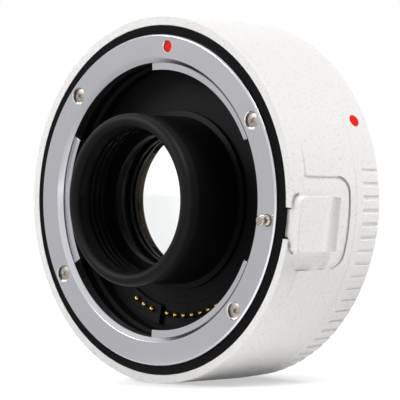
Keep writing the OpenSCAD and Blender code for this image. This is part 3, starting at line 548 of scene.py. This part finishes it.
def sharp_edges(piece, angle, wanted):
    """In edit mode, selects edges sharper than an angle for which wanted(x, y, z in mm) is true."""
    bpy.ops.mesh.select_mode(type="EDGE")
    bpy.ops.mesh.select_all(action="DESELECT")
    mesh = bmesh.from_edit_mesh(piece.data)
    for edge in mesh.edges:
        if edge.is_manifold and edge.calc_face_angle() > math.radians(angle):
            if wanted(*((edge.verts[0].co + edge.verts[1].co) / 2 / MM)):
                edge.select_set(True)
    bmesh.update_edit_mesh(piece.data)


def file_edges(piece, width, segments=3, angle=35.0, wanted=lambda x, y, z: True, clamp=True):
    """Rounds sharp edges to a width in millimetres."""
    take(piece)
    bpy.ops.object.mode_set(mode="EDIT")
    sharp_edges(piece, angle, wanted)
    bpy.ops.mesh.bevel(offset=width * MM, segments=segments, affect="EDGES", clamp_overlap=clamp)
    bpy.ops.object.mode_set(mode="OBJECT")
    return piece


def polish(piece, angle=32.0):
    """Shades a piece smooth up to an angle, with normals that follow its large faces."""
    take(piece)
    bpy.ops.object.shade_smooth_by_angle(angle=math.radians(angle))
    weigh = piece.modifiers.new("weigh", "WEIGHTED_NORMAL")
    weigh.keep_sharp = True
    bpy.ops.object.modifier_apply(modifier=weigh.name)
    return piece


def hand_over(piece, node, *more):
    """Gives a finished piece the body, slot and finish of the CAD node that it stands for."""
    piece.data.name = piece.name
    piece.data.materials.clear()
    piece.data.materials.append(FINISH[SLOT_OF[node]])
    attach(piece, frame["nodes"][node]["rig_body"])
    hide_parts(node, *more)
    mesh = bmesh.new()
    mesh.from_mesh(piece.data)
    leaks = sum(not edge.is_manifold for edge in mesh.edges)
    triangles = sum(len(face.verts) - 2 for face in mesh.faces)
    volume = round(mesh.calc_volume() / MM ** 3, 1)
    print(piece.name, "for", ", ".join((node,) + more), "has", triangles, "triangles,",
          leaks, "open edges,", volume, "mm3")
    mesh.free()


# %% [markdown]
# ## The white barrel
# The front shell is a plain tube with the seam behind. Round the release lever it is lower: the rim
# in front is milled off with a larger cutter, so the step there fades out to both sides, and behind
# the step lies a shallow pocket. A notch and a slot under the lever let its foot slide. The tube
# comes off the lathe first, and the mill is a tube that sits off the axis. Each cutter reaches past
# what it cuts, because a saw needs a clear way in and out.

# %% Turn and mill the barrel
OVER = 1.0
BARREL_STEPS = 260
RIM_STEP = 0.4
RIM_LENGTH = 4.0
STEP_SLOPE = 0.5
MILL_R = 40.0
MILL_WALL = 8.0
TAIL_WALL = 0.75
TRIM_WIDER = 0.55
TRIM_FACE = 0.75
TRIM_THICK = 0.6
trim_in_r, trim_r, _, trim_rear = turned_size("front_trim_ring")
trim_bore_r = trim_r + TRIM_WIDER
trim_face = lens_face + TRIM_FACE
trim_seat = trim_face + TRIM_THICK
rim_r = barrel_r - RIM_STEP
rim_rear = rim_front + RIM_LENGTH
tail_r = barrel_in_r + TAIL_WALL
barrel = lathe("front_barrel_shell", [
    (trim_bore_r, rim_front), (barrel_r, rim_front), (barrel_r, seam), (tail_r, seam),
    (tail_r, tail_rear), (barrel_in_r, tail_rear), (barrel_in_r, trim_seat),
    (trim_bore_r, trim_seat)], steps=BARREL_STEPS)
mill = lathe("mill", [
    (MILL_R, rim_front - OVER), (MILL_R + MILL_WALL, rim_front - OVER),
    (MILL_R + MILL_WALL, rim_rear + STEP_SLOPE), (MILL_R + RIM_STEP, rim_rear + STEP_SLOPE),
    (MILL_R, rim_rear)], steps=BARREL_STEPS)
saw(barrel, settle(mill, 0, rim_r - MILL_R))
print("rim radius", round(rim_r, 2), "step at", round(rim_rear - lens_face, 2), "from the flange")

# %% [markdown]
# ### The pocket
# The pocket's tool is a block with round corners whose underside is hollowed to the rim's radius.
# It starts a little in front of the step, and its floor lies a hair above the milled rim, because
# two faces in one place confuse the saw. A fine undercut follows the pocket's rear edge and draws a
# dark line there.

# %% Pocket and undercut
CORNER_SEGMENTS = 10
POCKET_WIDTH = 18.0
POCKET_REAR = 17.5
POCKET_CORNER = 3.2
POCKET_OVERLAP = 0.3
HAIR = 0.004
UNDERCUT = 0.35
UNDERCUT_IN = 0.15
UNDERCUT_SUNK = 0.2
UNDERCUT_LIP = 0.14
UNDERCUT_REACH = 3.0
half_pocket = POCKET_WIDTH / 2
pocket_rear = lens_face + POCKET_REAR
undercut_front = pocket_rear - UNDERCUT_REACH


def plate(name, low, high, front_corner, rear_corner):
    """A block whose four edges along X are rounded, with one radius in front and one behind."""
    made = block(name, low, high)
    bpy.ops.object.mode_set(mode="EDIT")
    for end, corner in ((low[1], front_corner), (high[1], rear_corner)):
        if corner:
            sharp_edges(made, 60, lambda x, y, z: (
                low[0] + NEAR < x < high[0] - NEAR and abs(y - end) < NEAR))
            bpy.ops.mesh.bevel(offset=corner * MM, segments=CORNER_SEGMENTS, affect="EDGES")
    bpy.ops.object.mode_set(mode="OBJECT")
    return made


def hollow_plate(name, half_width, front, rear, corner, floor_r, roof_r):
    """Such a plate with round rear corners, between two distances from the axis."""
    made = plate(name, (barrel_in_r - 2 * OVER, front, -half_width),
                 (barrel_r + 2 * OVER, rear, half_width), 0, corner)
    shell = lathe("shell", [
        (floor_r, front - OVER), (roof_r, front - OVER), (roof_r, rear + OVER),
        (floor_r, rear + OVER)], steps=BARREL_STEPS)
    return saw(made, shell, "INTERSECT")


saw(barrel, hollow_plate("pocket", half_pocket, rim_rear - POCKET_OVERLAP, pocket_rear,
                         POCKET_CORNER, rim_r + HAIR, barrel_r + 6 * OVER))
undercut = hollow_plate("undercut", half_pocket + UNDERCUT, undercut_front, pocket_rear + UNDERCUT,
                        POCKET_CORNER + UNDERCUT, rim_r - UNDERCUT_SUNK, barrel_r - UNDERCUT_LIP)
inside = plate("inside", (barrel_in_r - 3 * OVER, undercut_front - OVER, UNDERCUT_IN - half_pocket),
               (barrel_r + 8 * OVER, pocket_rear - UNDERCUT_IN, half_pocket - UNDERCUT_IN),
               0, POCKET_CORNER - UNDERCUT_IN)
saw(barrel, saw(undercut, inside))
print("pocket", POCKET_WIDTH, "wide, ends", POCKET_REAR, "behind the flange")

# %% [markdown]
# ### Room for the lever
# In front of the pocket the shell has a notch for the lever's front corners, a deeper one for its
# foot, and an open slot for its tongue. Then the slivers that the saw left are merged, and the
# edges outside the undercut are filed a little, because paint leaves no edge sharp.

# %% Notch and slot
NOTCH_GAP = 0.4
NOTCH_FLOOR = 34.8
NOTCH_LENGTH = 5.8
CORNER_REACH = 1.9
FOOT_WIDTH = 7.9
FOOT_GAP = 0.15
SLOT_WIDTH = 5.95
SLOT_END = 13.6
LEVER_CORNERS = (1.4, 2.5)
SLIVER = 0.03
PAINT_SOFT = 0.08
lever_low, lever_high = levelled("release_lever")
notch_front = lever_low.y - NOTCH_GAP
notch_half = lever_high.z + NOTCH_GAP
foot_half = FOOT_WIDTH / 2 + FOOT_GAP
saw(barrel, plate("corner_notch", (NOTCH_FLOOR, notch_front, -notch_half),
                  (barrel_r + 2 * OVER, notch_front + CORNER_REACH, notch_half),
                  LEVER_CORNERS[0] + NOTCH_GAP, 0))
saw(barrel, block("foot_notch", (NOTCH_FLOOR, notch_front + NOTCH_GAP, -foot_half),
                  (barrel_r + 2 * OVER, notch_front + NOTCH_LENGTH, foot_half)))
saw(barrel, block("slot", (barrel_in_r - 2 * OVER, rim_front - 2 * OVER, -SLOT_WIDTH / 2),
                  (barrel_r + 2 * OVER, lens_face + SLOT_END, SLOT_WIDTH / 2)))
weld(barrel, SLIVER)
file_edges(barrel, PAINT_SOFT, segments=2, angle=40, clamp=False, wanted=lambda x, y, z: (
    y < undercut_front - NEAR or y > pocket_rear + UNDERCUT + NEAR))
hand_over(polish(settle(barrel, level)), "front_barrel")

# %% [markdown]
# ## The black ring round the chrome
# Between the chrome flange and the white rim lies a thin lacquered ring. It sits in the barrel's
# counterbore with a hairline of room, and a sleeve behind it reaches down along the chrome. One
# outline on the lathe gives both.

# %% Black ring round the chrome
RING_STEPS = 240
TRIM_GAP = 0.05
SEAT_GAP = 0.02
TRIM_SOFT = 0.08
trim_out_r = trim_bore_r - TRIM_GAP
trim_back = trim_seat - SEAT_GAP
trim = lathe("lacquered_trim_ring", [
    (trim_in_r, trim_face), (trim_out_r, trim_face), (trim_out_r, trim_back),
    (trim_r, trim_back), (trim_r, trim_rear), (trim_in_r, trim_rear)], steps=RING_STEPS)
file_edges(trim, TRIM_SOFT, segments=2)
hand_over(polish(trim), "front_trim_ring")

# %% [markdown]
# ## Recesses
# Screws, dots and the pin all sit in round recesses. They are sawn with a turned tool that carries
# the bevel of the recess's mouth, because on plated metal that bevel is a bright line.

# %% Recesses
MOUTH = 0.14
DOT_DEPTH = 0.8


def recess(name, radius, face, depth, inwards):
    """A turned cutter for a round recess in a face; inwards is +1 or -1 along Y."""
    out = face - inwards * OVER
    end = face + inwards * depth
    return lathe(name, [
        (0, out), (radius + MOUTH, out), (radius + MOUTH, face), (radius, face + inwards * MOUTH),
        (radius, end), (0, end)], steps=48)


# %% [markdown]
# ## The grip ring
# Behind the seam sits a ring that tapers a little to the rear, with a row of short grooves round
# its lower part, open at the rear edge and sloping out towards the seam. One groove cutter is made.
# Its front edge is moved back at the floor for the slope, its sides are drawn in for the draft of a
# moulding, and its rear end is lowered along the taper. It is then copied round the ring, and all
# copies are sawn out at once.

# %% Grip ring
GRIP_CHAMFER = 1.0
GRIP_TAPER = 0.3
GRIP_SOFT = 0.15
FIT = 0.05
GROOVE_PITCH = 4.15
GROOVE_START = 16.2
chassis_rear = turned_size("chassis")[3]
grooves = int((180 + 2 * GROOVE_START) / GROOVE_PITCH) + 1
first_groove = level + GROOVE_START - (grooves - 1) * GROOVE_PITCH
grip = lathe("grip_ring_shell", [
    (tail_r + FIT, seam), (barrel_r, seam), (barrel_r - GRIP_TAPER, grip_rear - GRIP_CHAMFER),
    (barrel_r - GRIP_TAPER - GRIP_CHAMFER, grip_rear), (flange_r + FIT, grip_rear),
    (flange_r + FIT, chassis_rear), (barrel_in_r, chassis_rear), (barrel_in_r, tail_rear + FIT),
    (tail_r + FIT, tail_rear + FIT)],
    steps=3 * grooves, sweep=grooves * GROOVE_PITCH, rest=96)
file_edges(grip, GRIP_SOFT)
settle(grip, first_groove - GROOVE_PITCH / 2)
print("grooves", grooves)

# %% Grooves and the dot's recess
GROOVE_WIDTH = 1.45
GROOVE_DEPTH = 0.45
GROOVE_GAP = 1.6
GROOVE_DRAFT = 0.3
groove_floor = barrel_r - GROOVE_DEPTH
groove = block("groove", (groove_floor, seam + GROOVE_GAP, -GROOVE_WIDTH / 2),
               (barrel_r + GROOVE_DEPTH, grip_rear + OVER, GROOVE_WIDTH / 2))
bpy.ops.object.mode_set(mode="EDIT")
sharp_edges(groove, 60, lambda x, y, z: (
    touches(y, seam + GROOVE_GAP) and touches(x, groove_floor)))
bpy.ops.transform.translate(value=(0, 2 * GROOVE_DEPTH * MM, 0))
for side in (-1, 1):
    sharp_edges(groove, 30, lambda x, y, z: (
        touches(x, groove_floor) and touches(z, side * GROOVE_WIDTH / 2)))
    bpy.ops.transform.translate(value=(0, 0, -side * GROOVE_DRAFT * MM))
sharp_edges(groove, 60, lambda x, y, z: (
    touches(y, grip_rear + OVER) and touches(x, groove_floor)))
bpy.ops.transform.translate(value=(-GRIP_TAPER * MM, 0, 0))
bpy.ops.object.mode_set(mode="OBJECT")
saw(grip, repeat(groove, [first_groove + turn * GROOVE_PITCH for turn in range(grooves)], 0))
dot_angle, _ = polar("barrel_index_dot")
dot_low, dot_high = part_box("barrel_index_dot")
dot_y = (dot_low.y + dot_high.y) / 2 / MM
barrel_dot_r = (dot_high.y - dot_low.y) / 2 / MM
saw(grip, radial(recess("dot_recess", barrel_dot_r, 0, DOT_DEPTH, -1), dot_angle, barrel_r, dot_y))
hand_over(polish(grip), "rear_grip_ring")

# %% [markdown]
# ## The chrome bayonet
# The lens side has a female bayonet: a flat flange, a throat, and three lugs that stand into it. It
# is turned on the lathe, and the lugs are short sweeps of the same lathe, welded on. The camera
# side has the male one, a tube with three lugs outside. Its solid has the right shape already, so
# it only gets the finish. The screws sit in the middle of the flat that the solid's flange has
# inside its edge.

# %% Lens-side ring
SOLID_EDGE = 0.5
OUTER_BEVEL = 0.28
INNER_BEVEL = 0.9
FLANGE = 2.2
SKIRT = 1.4
TURNED_SOFT = 0.07
LUG_HEIGHT = 1.4
LUG_THICKNESS = 1.6
LUG_BACK = 0.02
LUG_SOFT = 0.1
LUG_MIDDLES = (187, 67, 307)
LUG_SPANS = (56, 68, 68)
throat_r = lug_in_r + LUG_HEIGHT
skirt_r = throat_r + SKIRT
ring = lathe("lens_side_bayonet", [
    (throat_r + INNER_BEVEL, lens_face), (flange_r - OUTER_BEVEL, lens_face),
    (flange_r, lens_face + OUTER_BEVEL), (flange_r, lens_face + FLANGE),
    (skirt_r, lens_face + FLANGE), (skirt_r, ring_rear), (throat_r, ring_rear),
    (throat_r, lens_face + INNER_BEVEL)], steps=RING_STEPS)
file_edges(ring, TURNED_SOFT, segments=2, angle=30)
lug_root_r = throat_r + SKIRT / 2
lug_front, lug_rear = ring_rear - LUG_THICKNESS, ring_rear - LUG_BACK
for middle, span in zip(LUG_MIDDLES, LUG_SPANS):
    lug = lathe("lug", [
        (lug_in_r, lug_front), (lug_root_r, lug_front), (lug_root_r, lug_rear),
        (lug_in_r, lug_rear)], steps=48, sweep=span)
    file_edges(lug, LUG_SOFT, segments=2)
    saw(ring, settle(lug, level + middle - span / 2), "UNION")
print("throat radius", round(throat_r, 2), "with", len(LUG_SPANS), "lugs")

# %% Recesses of the lens-side ring
SCREW_ANGLES = (37, 143, 217, 323)
RECESS_R = 1.65
RECESS_DEPTH = 1.0
FRONT_DOT_R = 1.1
PIN_R = 1.0
PIN_GAP = 0.06
screw_r = (skirt_r + flange_r - SOLID_EDGE) / 2
screw_places = [level + angle for angle in SCREW_ANGLES]
pin_angle, pin_place_r = polar("lock_pin")
saw(ring, repeat(recess("recess", RECESS_R, lens_face, RECESS_DEPTH, 1), screw_places, screw_r))
saw(ring, settle(recess("dot_recess", FRONT_DOT_R, lens_face, DOT_DEPTH, 1), index_angle, index_r))
saw(ring, settle(recess("pin_hole", PIN_R + PIN_GAP, lens_face, FLANGE + OVER, 1),
                 pin_angle, pin_place_r))
hand_over(polish(ring), "front_mount_ring")

# %% [markdown]
# ## Screws and the lock pin
# The screws are small pan heads with a cross recess, all alike, so one is modelled and copied. The
# blades of the cross taper towards their floor. The screws were driven by hand, so each cross
# stands at another angle. The pin is a turned rod with a chamfered tip, a neck and a collar.

# %% Mount screws
HEAD_R = 1.4
HEAD_SUNK = 0.35
HEAD_HEIGHT = 0.65
HEAD_CROWN = 0.22
CROWN_RADII = (0, 0.5, 0.9, 1.2, HEAD_R)
SHANK_R = 0.85
SCREW_SOFT = 0.05
CROSS_LONG = 1.75
CROSS_WIDE = 0.42
CROSS_DEEP = 0.5
CROSS_TAPER = (0.45, 1, 0.6)
CROSS_TURNS = (24, -12, 40, 3)


def screw_set(name, node, face, inwards):
    """Four cross-head screws in a flange face, driven inwards, which is +1 or -1 along Y."""
    _, _, front, rear = turned_size(node)
    top = face + inwards * HEAD_SUNK
    under = top + inwards * HEAD_HEIGHT
    tip = rear if inwards > 0 else front
    crown = [(r, top + inwards * HEAD_CROWN * (r / HEAD_R) ** 2) for r in CROWN_RADII]
    shank = [(HEAD_R, under), (SHANK_R, under), (SHANK_R, tip), (0, tip)]
    screw = lathe(name, crown + shank, steps=48)
    cross_floor = top + inwards * CROSS_DEEP
    low_y, high_y = sorted((top - inwards * OVER, cross_floor))
    for turn in (0, 90):
        blade = block("blade", (-CROSS_LONG / 2, low_y, -CROSS_WIDE / 2),
                      (CROSS_LONG / 2, high_y, CROSS_WIDE / 2))
        bpy.ops.object.mode_set(mode="EDIT")
        sharp_edges(blade, 60, lambda x, y, z: touches(y, cross_floor))
        bpy.ops.transform.resize(value=CROSS_TAPER)
        bpy.ops.object.mode_set(mode="OBJECT")
        saw(screw, settle(blade, turn))
    file_edges(screw, SCREW_SOFT, segments=2, angle=40)
    hand_over(polish(repeat(screw, screw_places, screw_r, CROSS_TURNS)), node)


screw_set("lens_side_screws", "front_mount_screws", lens_face, 1)
screw_set("camera_side_screws", "rear_mount_screws", 0.0, -1)

# %% Lock pin
PIN_CHAMFER = 0.15
PIN_SOFT = 0.05
NECK_SUNK = 0.22
NECK_REACHES = (1.1, 1.3, 1.55, 1.75)
COLLAR_WIDER = 0.5
COLLAR_LENGTH = 0.8
COLLAR_REACH = 2.0
_, _, pin_tip, pin_tail = turned_size("lock_pin")
neck_r = PIN_R - NECK_SUNK
neck_start, neck_front, neck_rear, neck_end = [pin_tip + reach for reach in NECK_REACHES]
collar_r = PIN_R + COLLAR_WIDER
collar_rear = turned_size("lever_carrier")[2] + COLLAR_REACH
collar_front = collar_rear - COLLAR_LENGTH
pin = lathe("sprung_lock_pin", [
    (0, pin_tip), (PIN_R - PIN_CHAMFER, pin_tip), (PIN_R, pin_tip + PIN_CHAMFER),
    (PIN_R, neck_start), (neck_r, neck_front), (neck_r, neck_rear), (PIN_R, neck_end),
    (PIN_R, collar_front), (collar_r, collar_front), (collar_r, collar_rear),
    (PIN_R, collar_rear), (PIN_R, pin_tail), (0, pin_tail)], steps=64)
settle(pin, pin_angle, pin_place_r)
file_edges(pin, PIN_SOFT, segments=2)
hand_over(polish(pin), "lock_pin")

# %% [markdown]
# ## The release lever
# The thumb slides this lever to the rear. It is a block with round corners and soft upper edges, a
# scoop across its rear half, and a flat front wall that reaches down through the rim: first as wide
# as the wall's flat part, then as a narrow tongue. A cube gets its corners rounded first, and its
# underside is hollowed to ride above the pocket's round floor. The scoop is sawn with a bar whose
# section is a ramp, which stays above the screw inside, and a steep round wall, which leaves a
# broad ridge for the thumb to push.

# %% Release lever
LEVER_LIFT = 0.1
LEVER_SOFT = 0.75
FOOT_FLOOR = 34.95
SCOOP_R = 0.9
SCOOP_DEPTH = 1.5
SCOOP_WALL = 2.0
SCOOP_LENGTH = 4.0
SCOOP_LEAD = 0.4
SCOOP_LEAN = 0.15
SCREW_COVER = 0.2
lever_top = lever_high.x
lever_front, lever_rear = lever_low.y, lever_high.y
half_lever = lever_high.z
ride_r = rim_r + LEVER_LIFT
lever = plate("release_slider", (FOOT_FLOOR, lever_front, -half_lever),
              (lever_top, lever_rear, half_lever), *LEVER_CORNERS)
file_edges(lever, LEVER_SOFT, segments=5, angle=60, wanted=lambda x, y, z: (
    x > lever_top - NEAR and y > lever_front + NEAR))
saw(lever, lathe("pocket_space", [
    (0, lever_front - 2 * OVER), (ride_r, lever_front - 2 * OVER),
    (ride_r, lever_rear + 2 * OVER), (0, lever_rear + 2 * OVER)], steps=BARREL_STEPS))
screw_high = levelled("lever_screws")[1]
scoop_wall = lever_rear - SCOOP_WALL
scoop_front = scoop_wall - SCOOP_LENGTH
scoop_middle = (lever_top - SCOOP_DEPTH + SCOOP_R, scoop_wall - SCOOP_R)
ramp = [(lever_top + OVER, scoop_front - SCOOP_LEAD), (lever_top, scoop_front),
        (screw_high.x + SCREW_COVER, screw_high.y)]
wall = arc(scoop_middle, SCOOP_R, 215, 95, 12) + [(lever_top + OVER, scoop_wall + SCOOP_LEAN)]
saw(lever, press("scoop", ramp + wall, lever_top))
print("lever screws reach", round(screw_high.x, 2), "and end at",
      round(screw_high.y - lens_face, 2), "behind the flange")

# %% [markdown]
# ### One moulding
# The foot and the tongue are welded on. A remesh with a little smoothing then melts it all into the
# one moulding that it is.

# %% Foot, tongue and remesh
FOOT_LENGTH = 2.6
FOOT_BELOW_TOP = 1.0
TONGUE_WIDTH = 5.35
VOXEL = 0.11
MELT = 0.5
MELT_ROUNDS = 16
for name, floor_x, width in (
    ("foot", FOOT_FLOOR, FOOT_WIDTH),
    ("tongue", lever_low.x, TONGUE_WIDTH),
):
    saw(lever, block(name, (floor_x, lever_front, -width / 2),
                     (lever_top - FOOT_BELOW_TOP, lever_front + FOOT_LENGTH, width / 2)), "UNION")
take(lever)
fuse = lever.modifiers.new("fuse", "REMESH")
fuse.mode = "VOXEL"
fuse.voxel_size = VOXEL * MM
bpy.ops.object.modifier_apply(modifier=fuse.name)
melt = lever.modifiers.new("melt", "SMOOTH")
melt.factor = MELT
melt.iterations = MELT_ROUNDS
bpy.ops.object.modifier_apply(modifier=melt.name)
settle(lever, level)
hand_over(polish(lever, 60), "release_lever")

# %% [markdown]
# ## The glass
# Five elements stand in three groups. Inside a cemented group there is no air, and almost no light
# is lost at the joint, so each group is made as one piece of glass with its two outer faces. The
# curved faces are arcs in the outline. Lens makers blacken the edges with ink so that no light
# creeps round there, so the faces of the edge get a black finish.

# %% Glass groups
GLASS_GAP = 0.02
EDGE_TILT = 0.5


def dome(radius, edge_r, apex, towards, count=10):
    """Outline of a curved face from the axis out to edge_r, its centre towards +1 or -1."""
    centre = apex + towards * radius
    spread = math.degrees(math.asin(edge_r / radius))
    points = arc((0, centre), radius, -90 * towards, (-90 + spread) * towards, count)
    return [(max(0, r), y) for r, y in points]


def glass_outline(curve, apex, towards):
    """Outline of a lens face with a radius of curvature in mm, or of a flat one where it is None."""
    if curve:
        return dome(curve, face_r, apex, towards)
    return [(0, apex), (face_r, apex)]


face_r = turned_size("lens_element_1")[1] - GLASS_GAP
for name, nodes, front_curve, rear_curve in (
    ("front_group", ("lens_element_1", "lens_element_2"), 90, None),
    ("middle_group", ("lens_element_3",), 120, 120),
    ("rear_group", ("lens_element_4", "lens_element_5"), None, 40),
):
    front_face = glass_outline(front_curve, turned_size(nodes[0])[2], 1)
    rear_face = glass_outline(rear_curve, turned_size(nodes[-1])[3], -1)
    group = lathe(name, front_face + rear_face[::-1], steps=128)
    hand_over(polish(group, 25), *nodes)
    group.data.materials.append(FINISH["black_anodised"])
    for face in group.data.polygons:
        face.material_index = int(abs(face.normal.y) < EDGE_TILT)

# %% [markdown]
# ## The springs
# A steel spring pushes the lock pin out, and a small one pushes each contact. A coil is one wire:
# its round section is drawn once, and a screw modifier carries it round the axis and along it. When
# a pin goes in, its coil gets shorter while the rear end stays where it is. Each coil gets a mesh
# of its own.

# %% Springs
LOCK_WIRE = 0.4
LOCK_COIL_R = 1.35
LOCK_TURNS = 5
CONTACTS = 11
CONTACT_WIRE = 0.2
CONTACT_COIL_R = 0.65
CONTACT_TURNS = 2.5
WIRE_SIDES = 8
STEPS_PER_TURN = 20


def coil(name, node, radius, wire, turns):
    """A spring about the Y axis, as long as its CAD node."""
    _, _, front, rear = turned_size(node)
    last_side = 360 - 360 / WIRE_SIDES
    section = arc((radius, front + wire / 2), wire / 2, 0, last_side, WIRE_SIDES - 1)
    piece = draw(name, section)
    bpy.ops.object.mode_set(mode="OBJECT")
    wind = piece.modifiers.new("wind", "SCREW")
    wind.axis = "Y"
    wind.angle = math.radians(360 * turns)
    wind.screw_offset = (rear - front - wire) * MM
    wind.steps = wind.render_steps = int(STEPS_PER_TURN * turns)
    bpy.ops.object.modifier_apply(modifier=wind.name)
    bpy.ops.object.mode_set(mode="EDIT")
    bpy.ops.mesh.select_all(action="SELECT")
    bpy.ops.mesh.fill_holes(sides=0)
    bpy.ops.mesh.select_all(action="SELECT")
    bpy.ops.mesh.normals_make_consistent(inside=False)
    bpy.ops.object.mode_set(mode="OBJECT")
    return piece


def sprung(piece, node):
    """Hands over a spring and gives it a mesh of its own."""
    hand_over(polish(piece, 60), node)
    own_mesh(piece)


lock_coil = coil("lock_coil", "lock_spring", LOCK_COIL_R, LOCK_WIRE, LOCK_TURNS)
settle(lock_coil, pin_angle, pin_place_r)
sprung(lock_coil, "lock_spring")
pattern = coil("contact_coil", "contact_springs", CONTACT_COIL_R, CONTACT_WIRE, CONTACT_TURNS)
for number in range(1, CONTACTS + 1):
    take(pattern)
    bpy.ops.object.duplicate()
    contact_coil = bpy.context.object
    contact_coil.name = "contact_coil_%02d" % number
    settle(contact_coil, *polar("contact_pin_%02d" % number))
    sprung(contact_coil, "contact_springs")
bpy.data.objects.remove(pattern)

# %% [markdown]
# ## The floor
# A pale floor takes the soft shadow under the barrel. The picture's background is pure white, and
# that is painted, not lit: to the camera, and to reflections and glass, the world and the far floor
# glow at 1, which is white, while the light that falls on the object stays at a plain level. Under
# the barrel the floor glows less, in a long soft spot that is placed and sized here: a painted
# shadow, added to the real shadow that the lamps cast there. To the eye the floor is also a darker
# grey than the one whose bounce lights the object, which makes that painted shadow darker still.

# %% Floor
FLOOR_SIDE = 3
SHADOW_GLOW = 0.52
GLOW_START = 0.012
GLOW_END = 0.032
SHADOW_LONG = 1.2
SHADOW_MIDDLE = (6.0, -12.0)


def seen_rays(tree):
    """1 for rays of the camera, of reflections and of glass, and 0 for rays that light a surface."""
    path = add(tree, "ShaderNodeLightPath", {})
    seen = path.outputs["Is Camera Ray"]
    for kind in ("Is Glossy Ray", "Is Transmission Ray"):
        seen = add(tree, "ShaderNodeMath", {0: seen, 1: path.outputs[kind]},
                   operation="MAXIMUM").outputs[0]
    return seen


bpy.ops.object.select_all(action="DESELECT")
bpy.ops.mesh.primitive_plane_add(size=FLOOR_SIDE, location=(0, 0, cad_low.z))
floor = bpy.context.object
floor.name = "floor"
paper, tree, place = new_material("white paper sweep")
# Painted shadow: the floor's glow drops in a soft ellipse under the barrel, whose middle and length
# are set by SHADOW_MIDDLE and SHADOW_LONG, on top of the real shadow from the lamps.
under = add(tree, "ShaderNodeMapping", {
    "Vector": place, "Scale": (1, 1 / SHADOW_LONG, 0),
    "Location": (-SHADOW_MIDDLE[0] * MM, -SHADOW_MIDDLE[1] * MM / SHADOW_LONG, 0)})
far = add(tree, "ShaderNodeVectorMath", {0: under.outputs["Vector"]}, operation="LENGTH")
glow_with_painted_shadow = add(tree, "ShaderNodeMapRange", {
    "Value": far.outputs["Value"], "From Min": GLOW_START, "From Max": GLOW_END,
    "To Min": SHADOW_GLOW, "To Max": 1.0}, interpolation_type="SMOOTHSTEP")
seen = seen_rays(tree)
glow = add(tree, "ShaderNodeMath", {0: seen, 1: glow_with_painted_shadow.outputs["Result"]}, operation="MULTIPLY")
# Painted shade: the eye, reflections and glass see the floor as #B4B4B4, while its bounce lights the
# object as #F5F5F5.
tone = add(tree, "ShaderNodeMix", {
    "Factor": seen, "A": linear("#F5F5F5"), "B": linear("#B4B4B4")}, data_type="RGBA")
show(tree, add(tree, "ShaderNodeBsdfPrincipled", {
    "Base Color": tone.outputs["Result"], "Roughness": 0.9, "Specular IOR Level": 0.0,
    "Emission Color": linear("#FFFFFF"), "Emission Strength": glow.outputs[0]}))
floor.data.materials.append(paper)
floor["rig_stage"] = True
print("floor at", round(cad_low.z / MM, 2))

# %% [markdown]
# ## Glowing grey cards
# Chrome shows what stands in front of it. In an all-white room it would be white and flat, so a
# card that glows a set grey stands at the left, where the flat flange looks when seen from the
# camera, and another lies on the floor before it. Only reflections see the cards, so the grey in the
# flat chrome is a painted reflection. The bevels look elsewhere, into the white, and so they shine.

# %% Glowing grey cards: painted reflections
CARD_SIDE = 0.42
CARD_GLOW = 0.68
CARD_TURN = -45
CARD_LIFT = 0.5 * MM
STANDING_PLACE = (-0.28, -0.31, 0)
LYING_PLACE = (-0.17, -0.19, cad_low.z + CARD_LIFT)
# Painted reflection: the cards glow at a set grey and only reflections see them.
grey, tree, _ = new_material("glowing grey card for reflections")
show(tree, add(tree, "ShaderNodeEmission", {"Color": linear("#FFFFFF"), "Strength": CARD_GLOW}))
for name, spot, tilt in (
    ("standing_grey_card", STANDING_PLACE, 90),
    ("lying_grey_card", LYING_PLACE, 0),
):
    bpy.ops.object.select_all(action="DESELECT")
    bpy.ops.mesh.primitive_plane_add(
        size=CARD_SIDE, location=spot,
        rotation=(math.radians(tilt), 0, math.radians(CARD_TURN)))
    card = bpy.context.object
    card.name = name
    for kind in ("camera", "diffuse", "transmission", "shadow", "volume_scatter"):
        setattr(card, "visible_" + kind, False)
    card.data.materials.append(grey)
    card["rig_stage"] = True

# %% [markdown]
# ## World and lamps
# The world is white to the eye and gives only a little light of its own. One soft lamp hangs high
# on the right, a little behind, and draws the barrel's small steps and the lever. The other hangs
# in front, to the left, and lights all that faces the lens.

# %% World and lamps
AMBIENT = 0.09
LAMP_SIDE = 0.30
LAMP_AIM_Y = -14
RIGHT_PLACE = (0.41, 0.12, 0.59)
RIGHT_POWER = 4.3
LEFT_PLACE = (-0.34, -0.50, 0.36)
LEFT_POWER = 3.2
world = bpy.data.worlds.new("white studio")
world.use_nodes = True
tree = world.node_tree
tree.nodes.clear()
strength = add(tree, "ShaderNodeMapRange", {
    "Value": seen_rays(tree), "To Min": AMBIENT, "To Max": 1.0})
sky = add(tree, "ShaderNodeBackground", {
    "Color": linear("#FFFFFF"), "Strength": strength.outputs["Result"]})
add(tree, "ShaderNodeOutputWorld", {"Surface": sky.outputs[0]})
bpy.context.scene.world = world


def softbox(name, spot, power):
    """A square area lamp at a spot in metres, turned towards the converter."""
    bpy.ops.object.light_add(type="AREA", location=spot)
    lamp = bpy.context.object
    lamp.name = name
    lamp.data.shape = "SQUARE"
    lamp.data.size = LAMP_SIDE
    lamp.data.energy = power
    beam = Vector((0, LAMP_AIM_Y * MM, 0)) - Vector(spot)
    lamp.rotation_euler = beam.to_track_quat("-Z", "Y").to_euler()
    print(name, "at", spot, "with", power, "W")


softbox("right_softbox", RIGHT_PLACE, RIGHT_POWER)
softbox("left_softbox", LEFT_PLACE, LEFT_POWER)

# %% Sizes and finish
low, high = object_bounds()
print("visual box in mm", [round(side / MM, 2) for side in high - low])
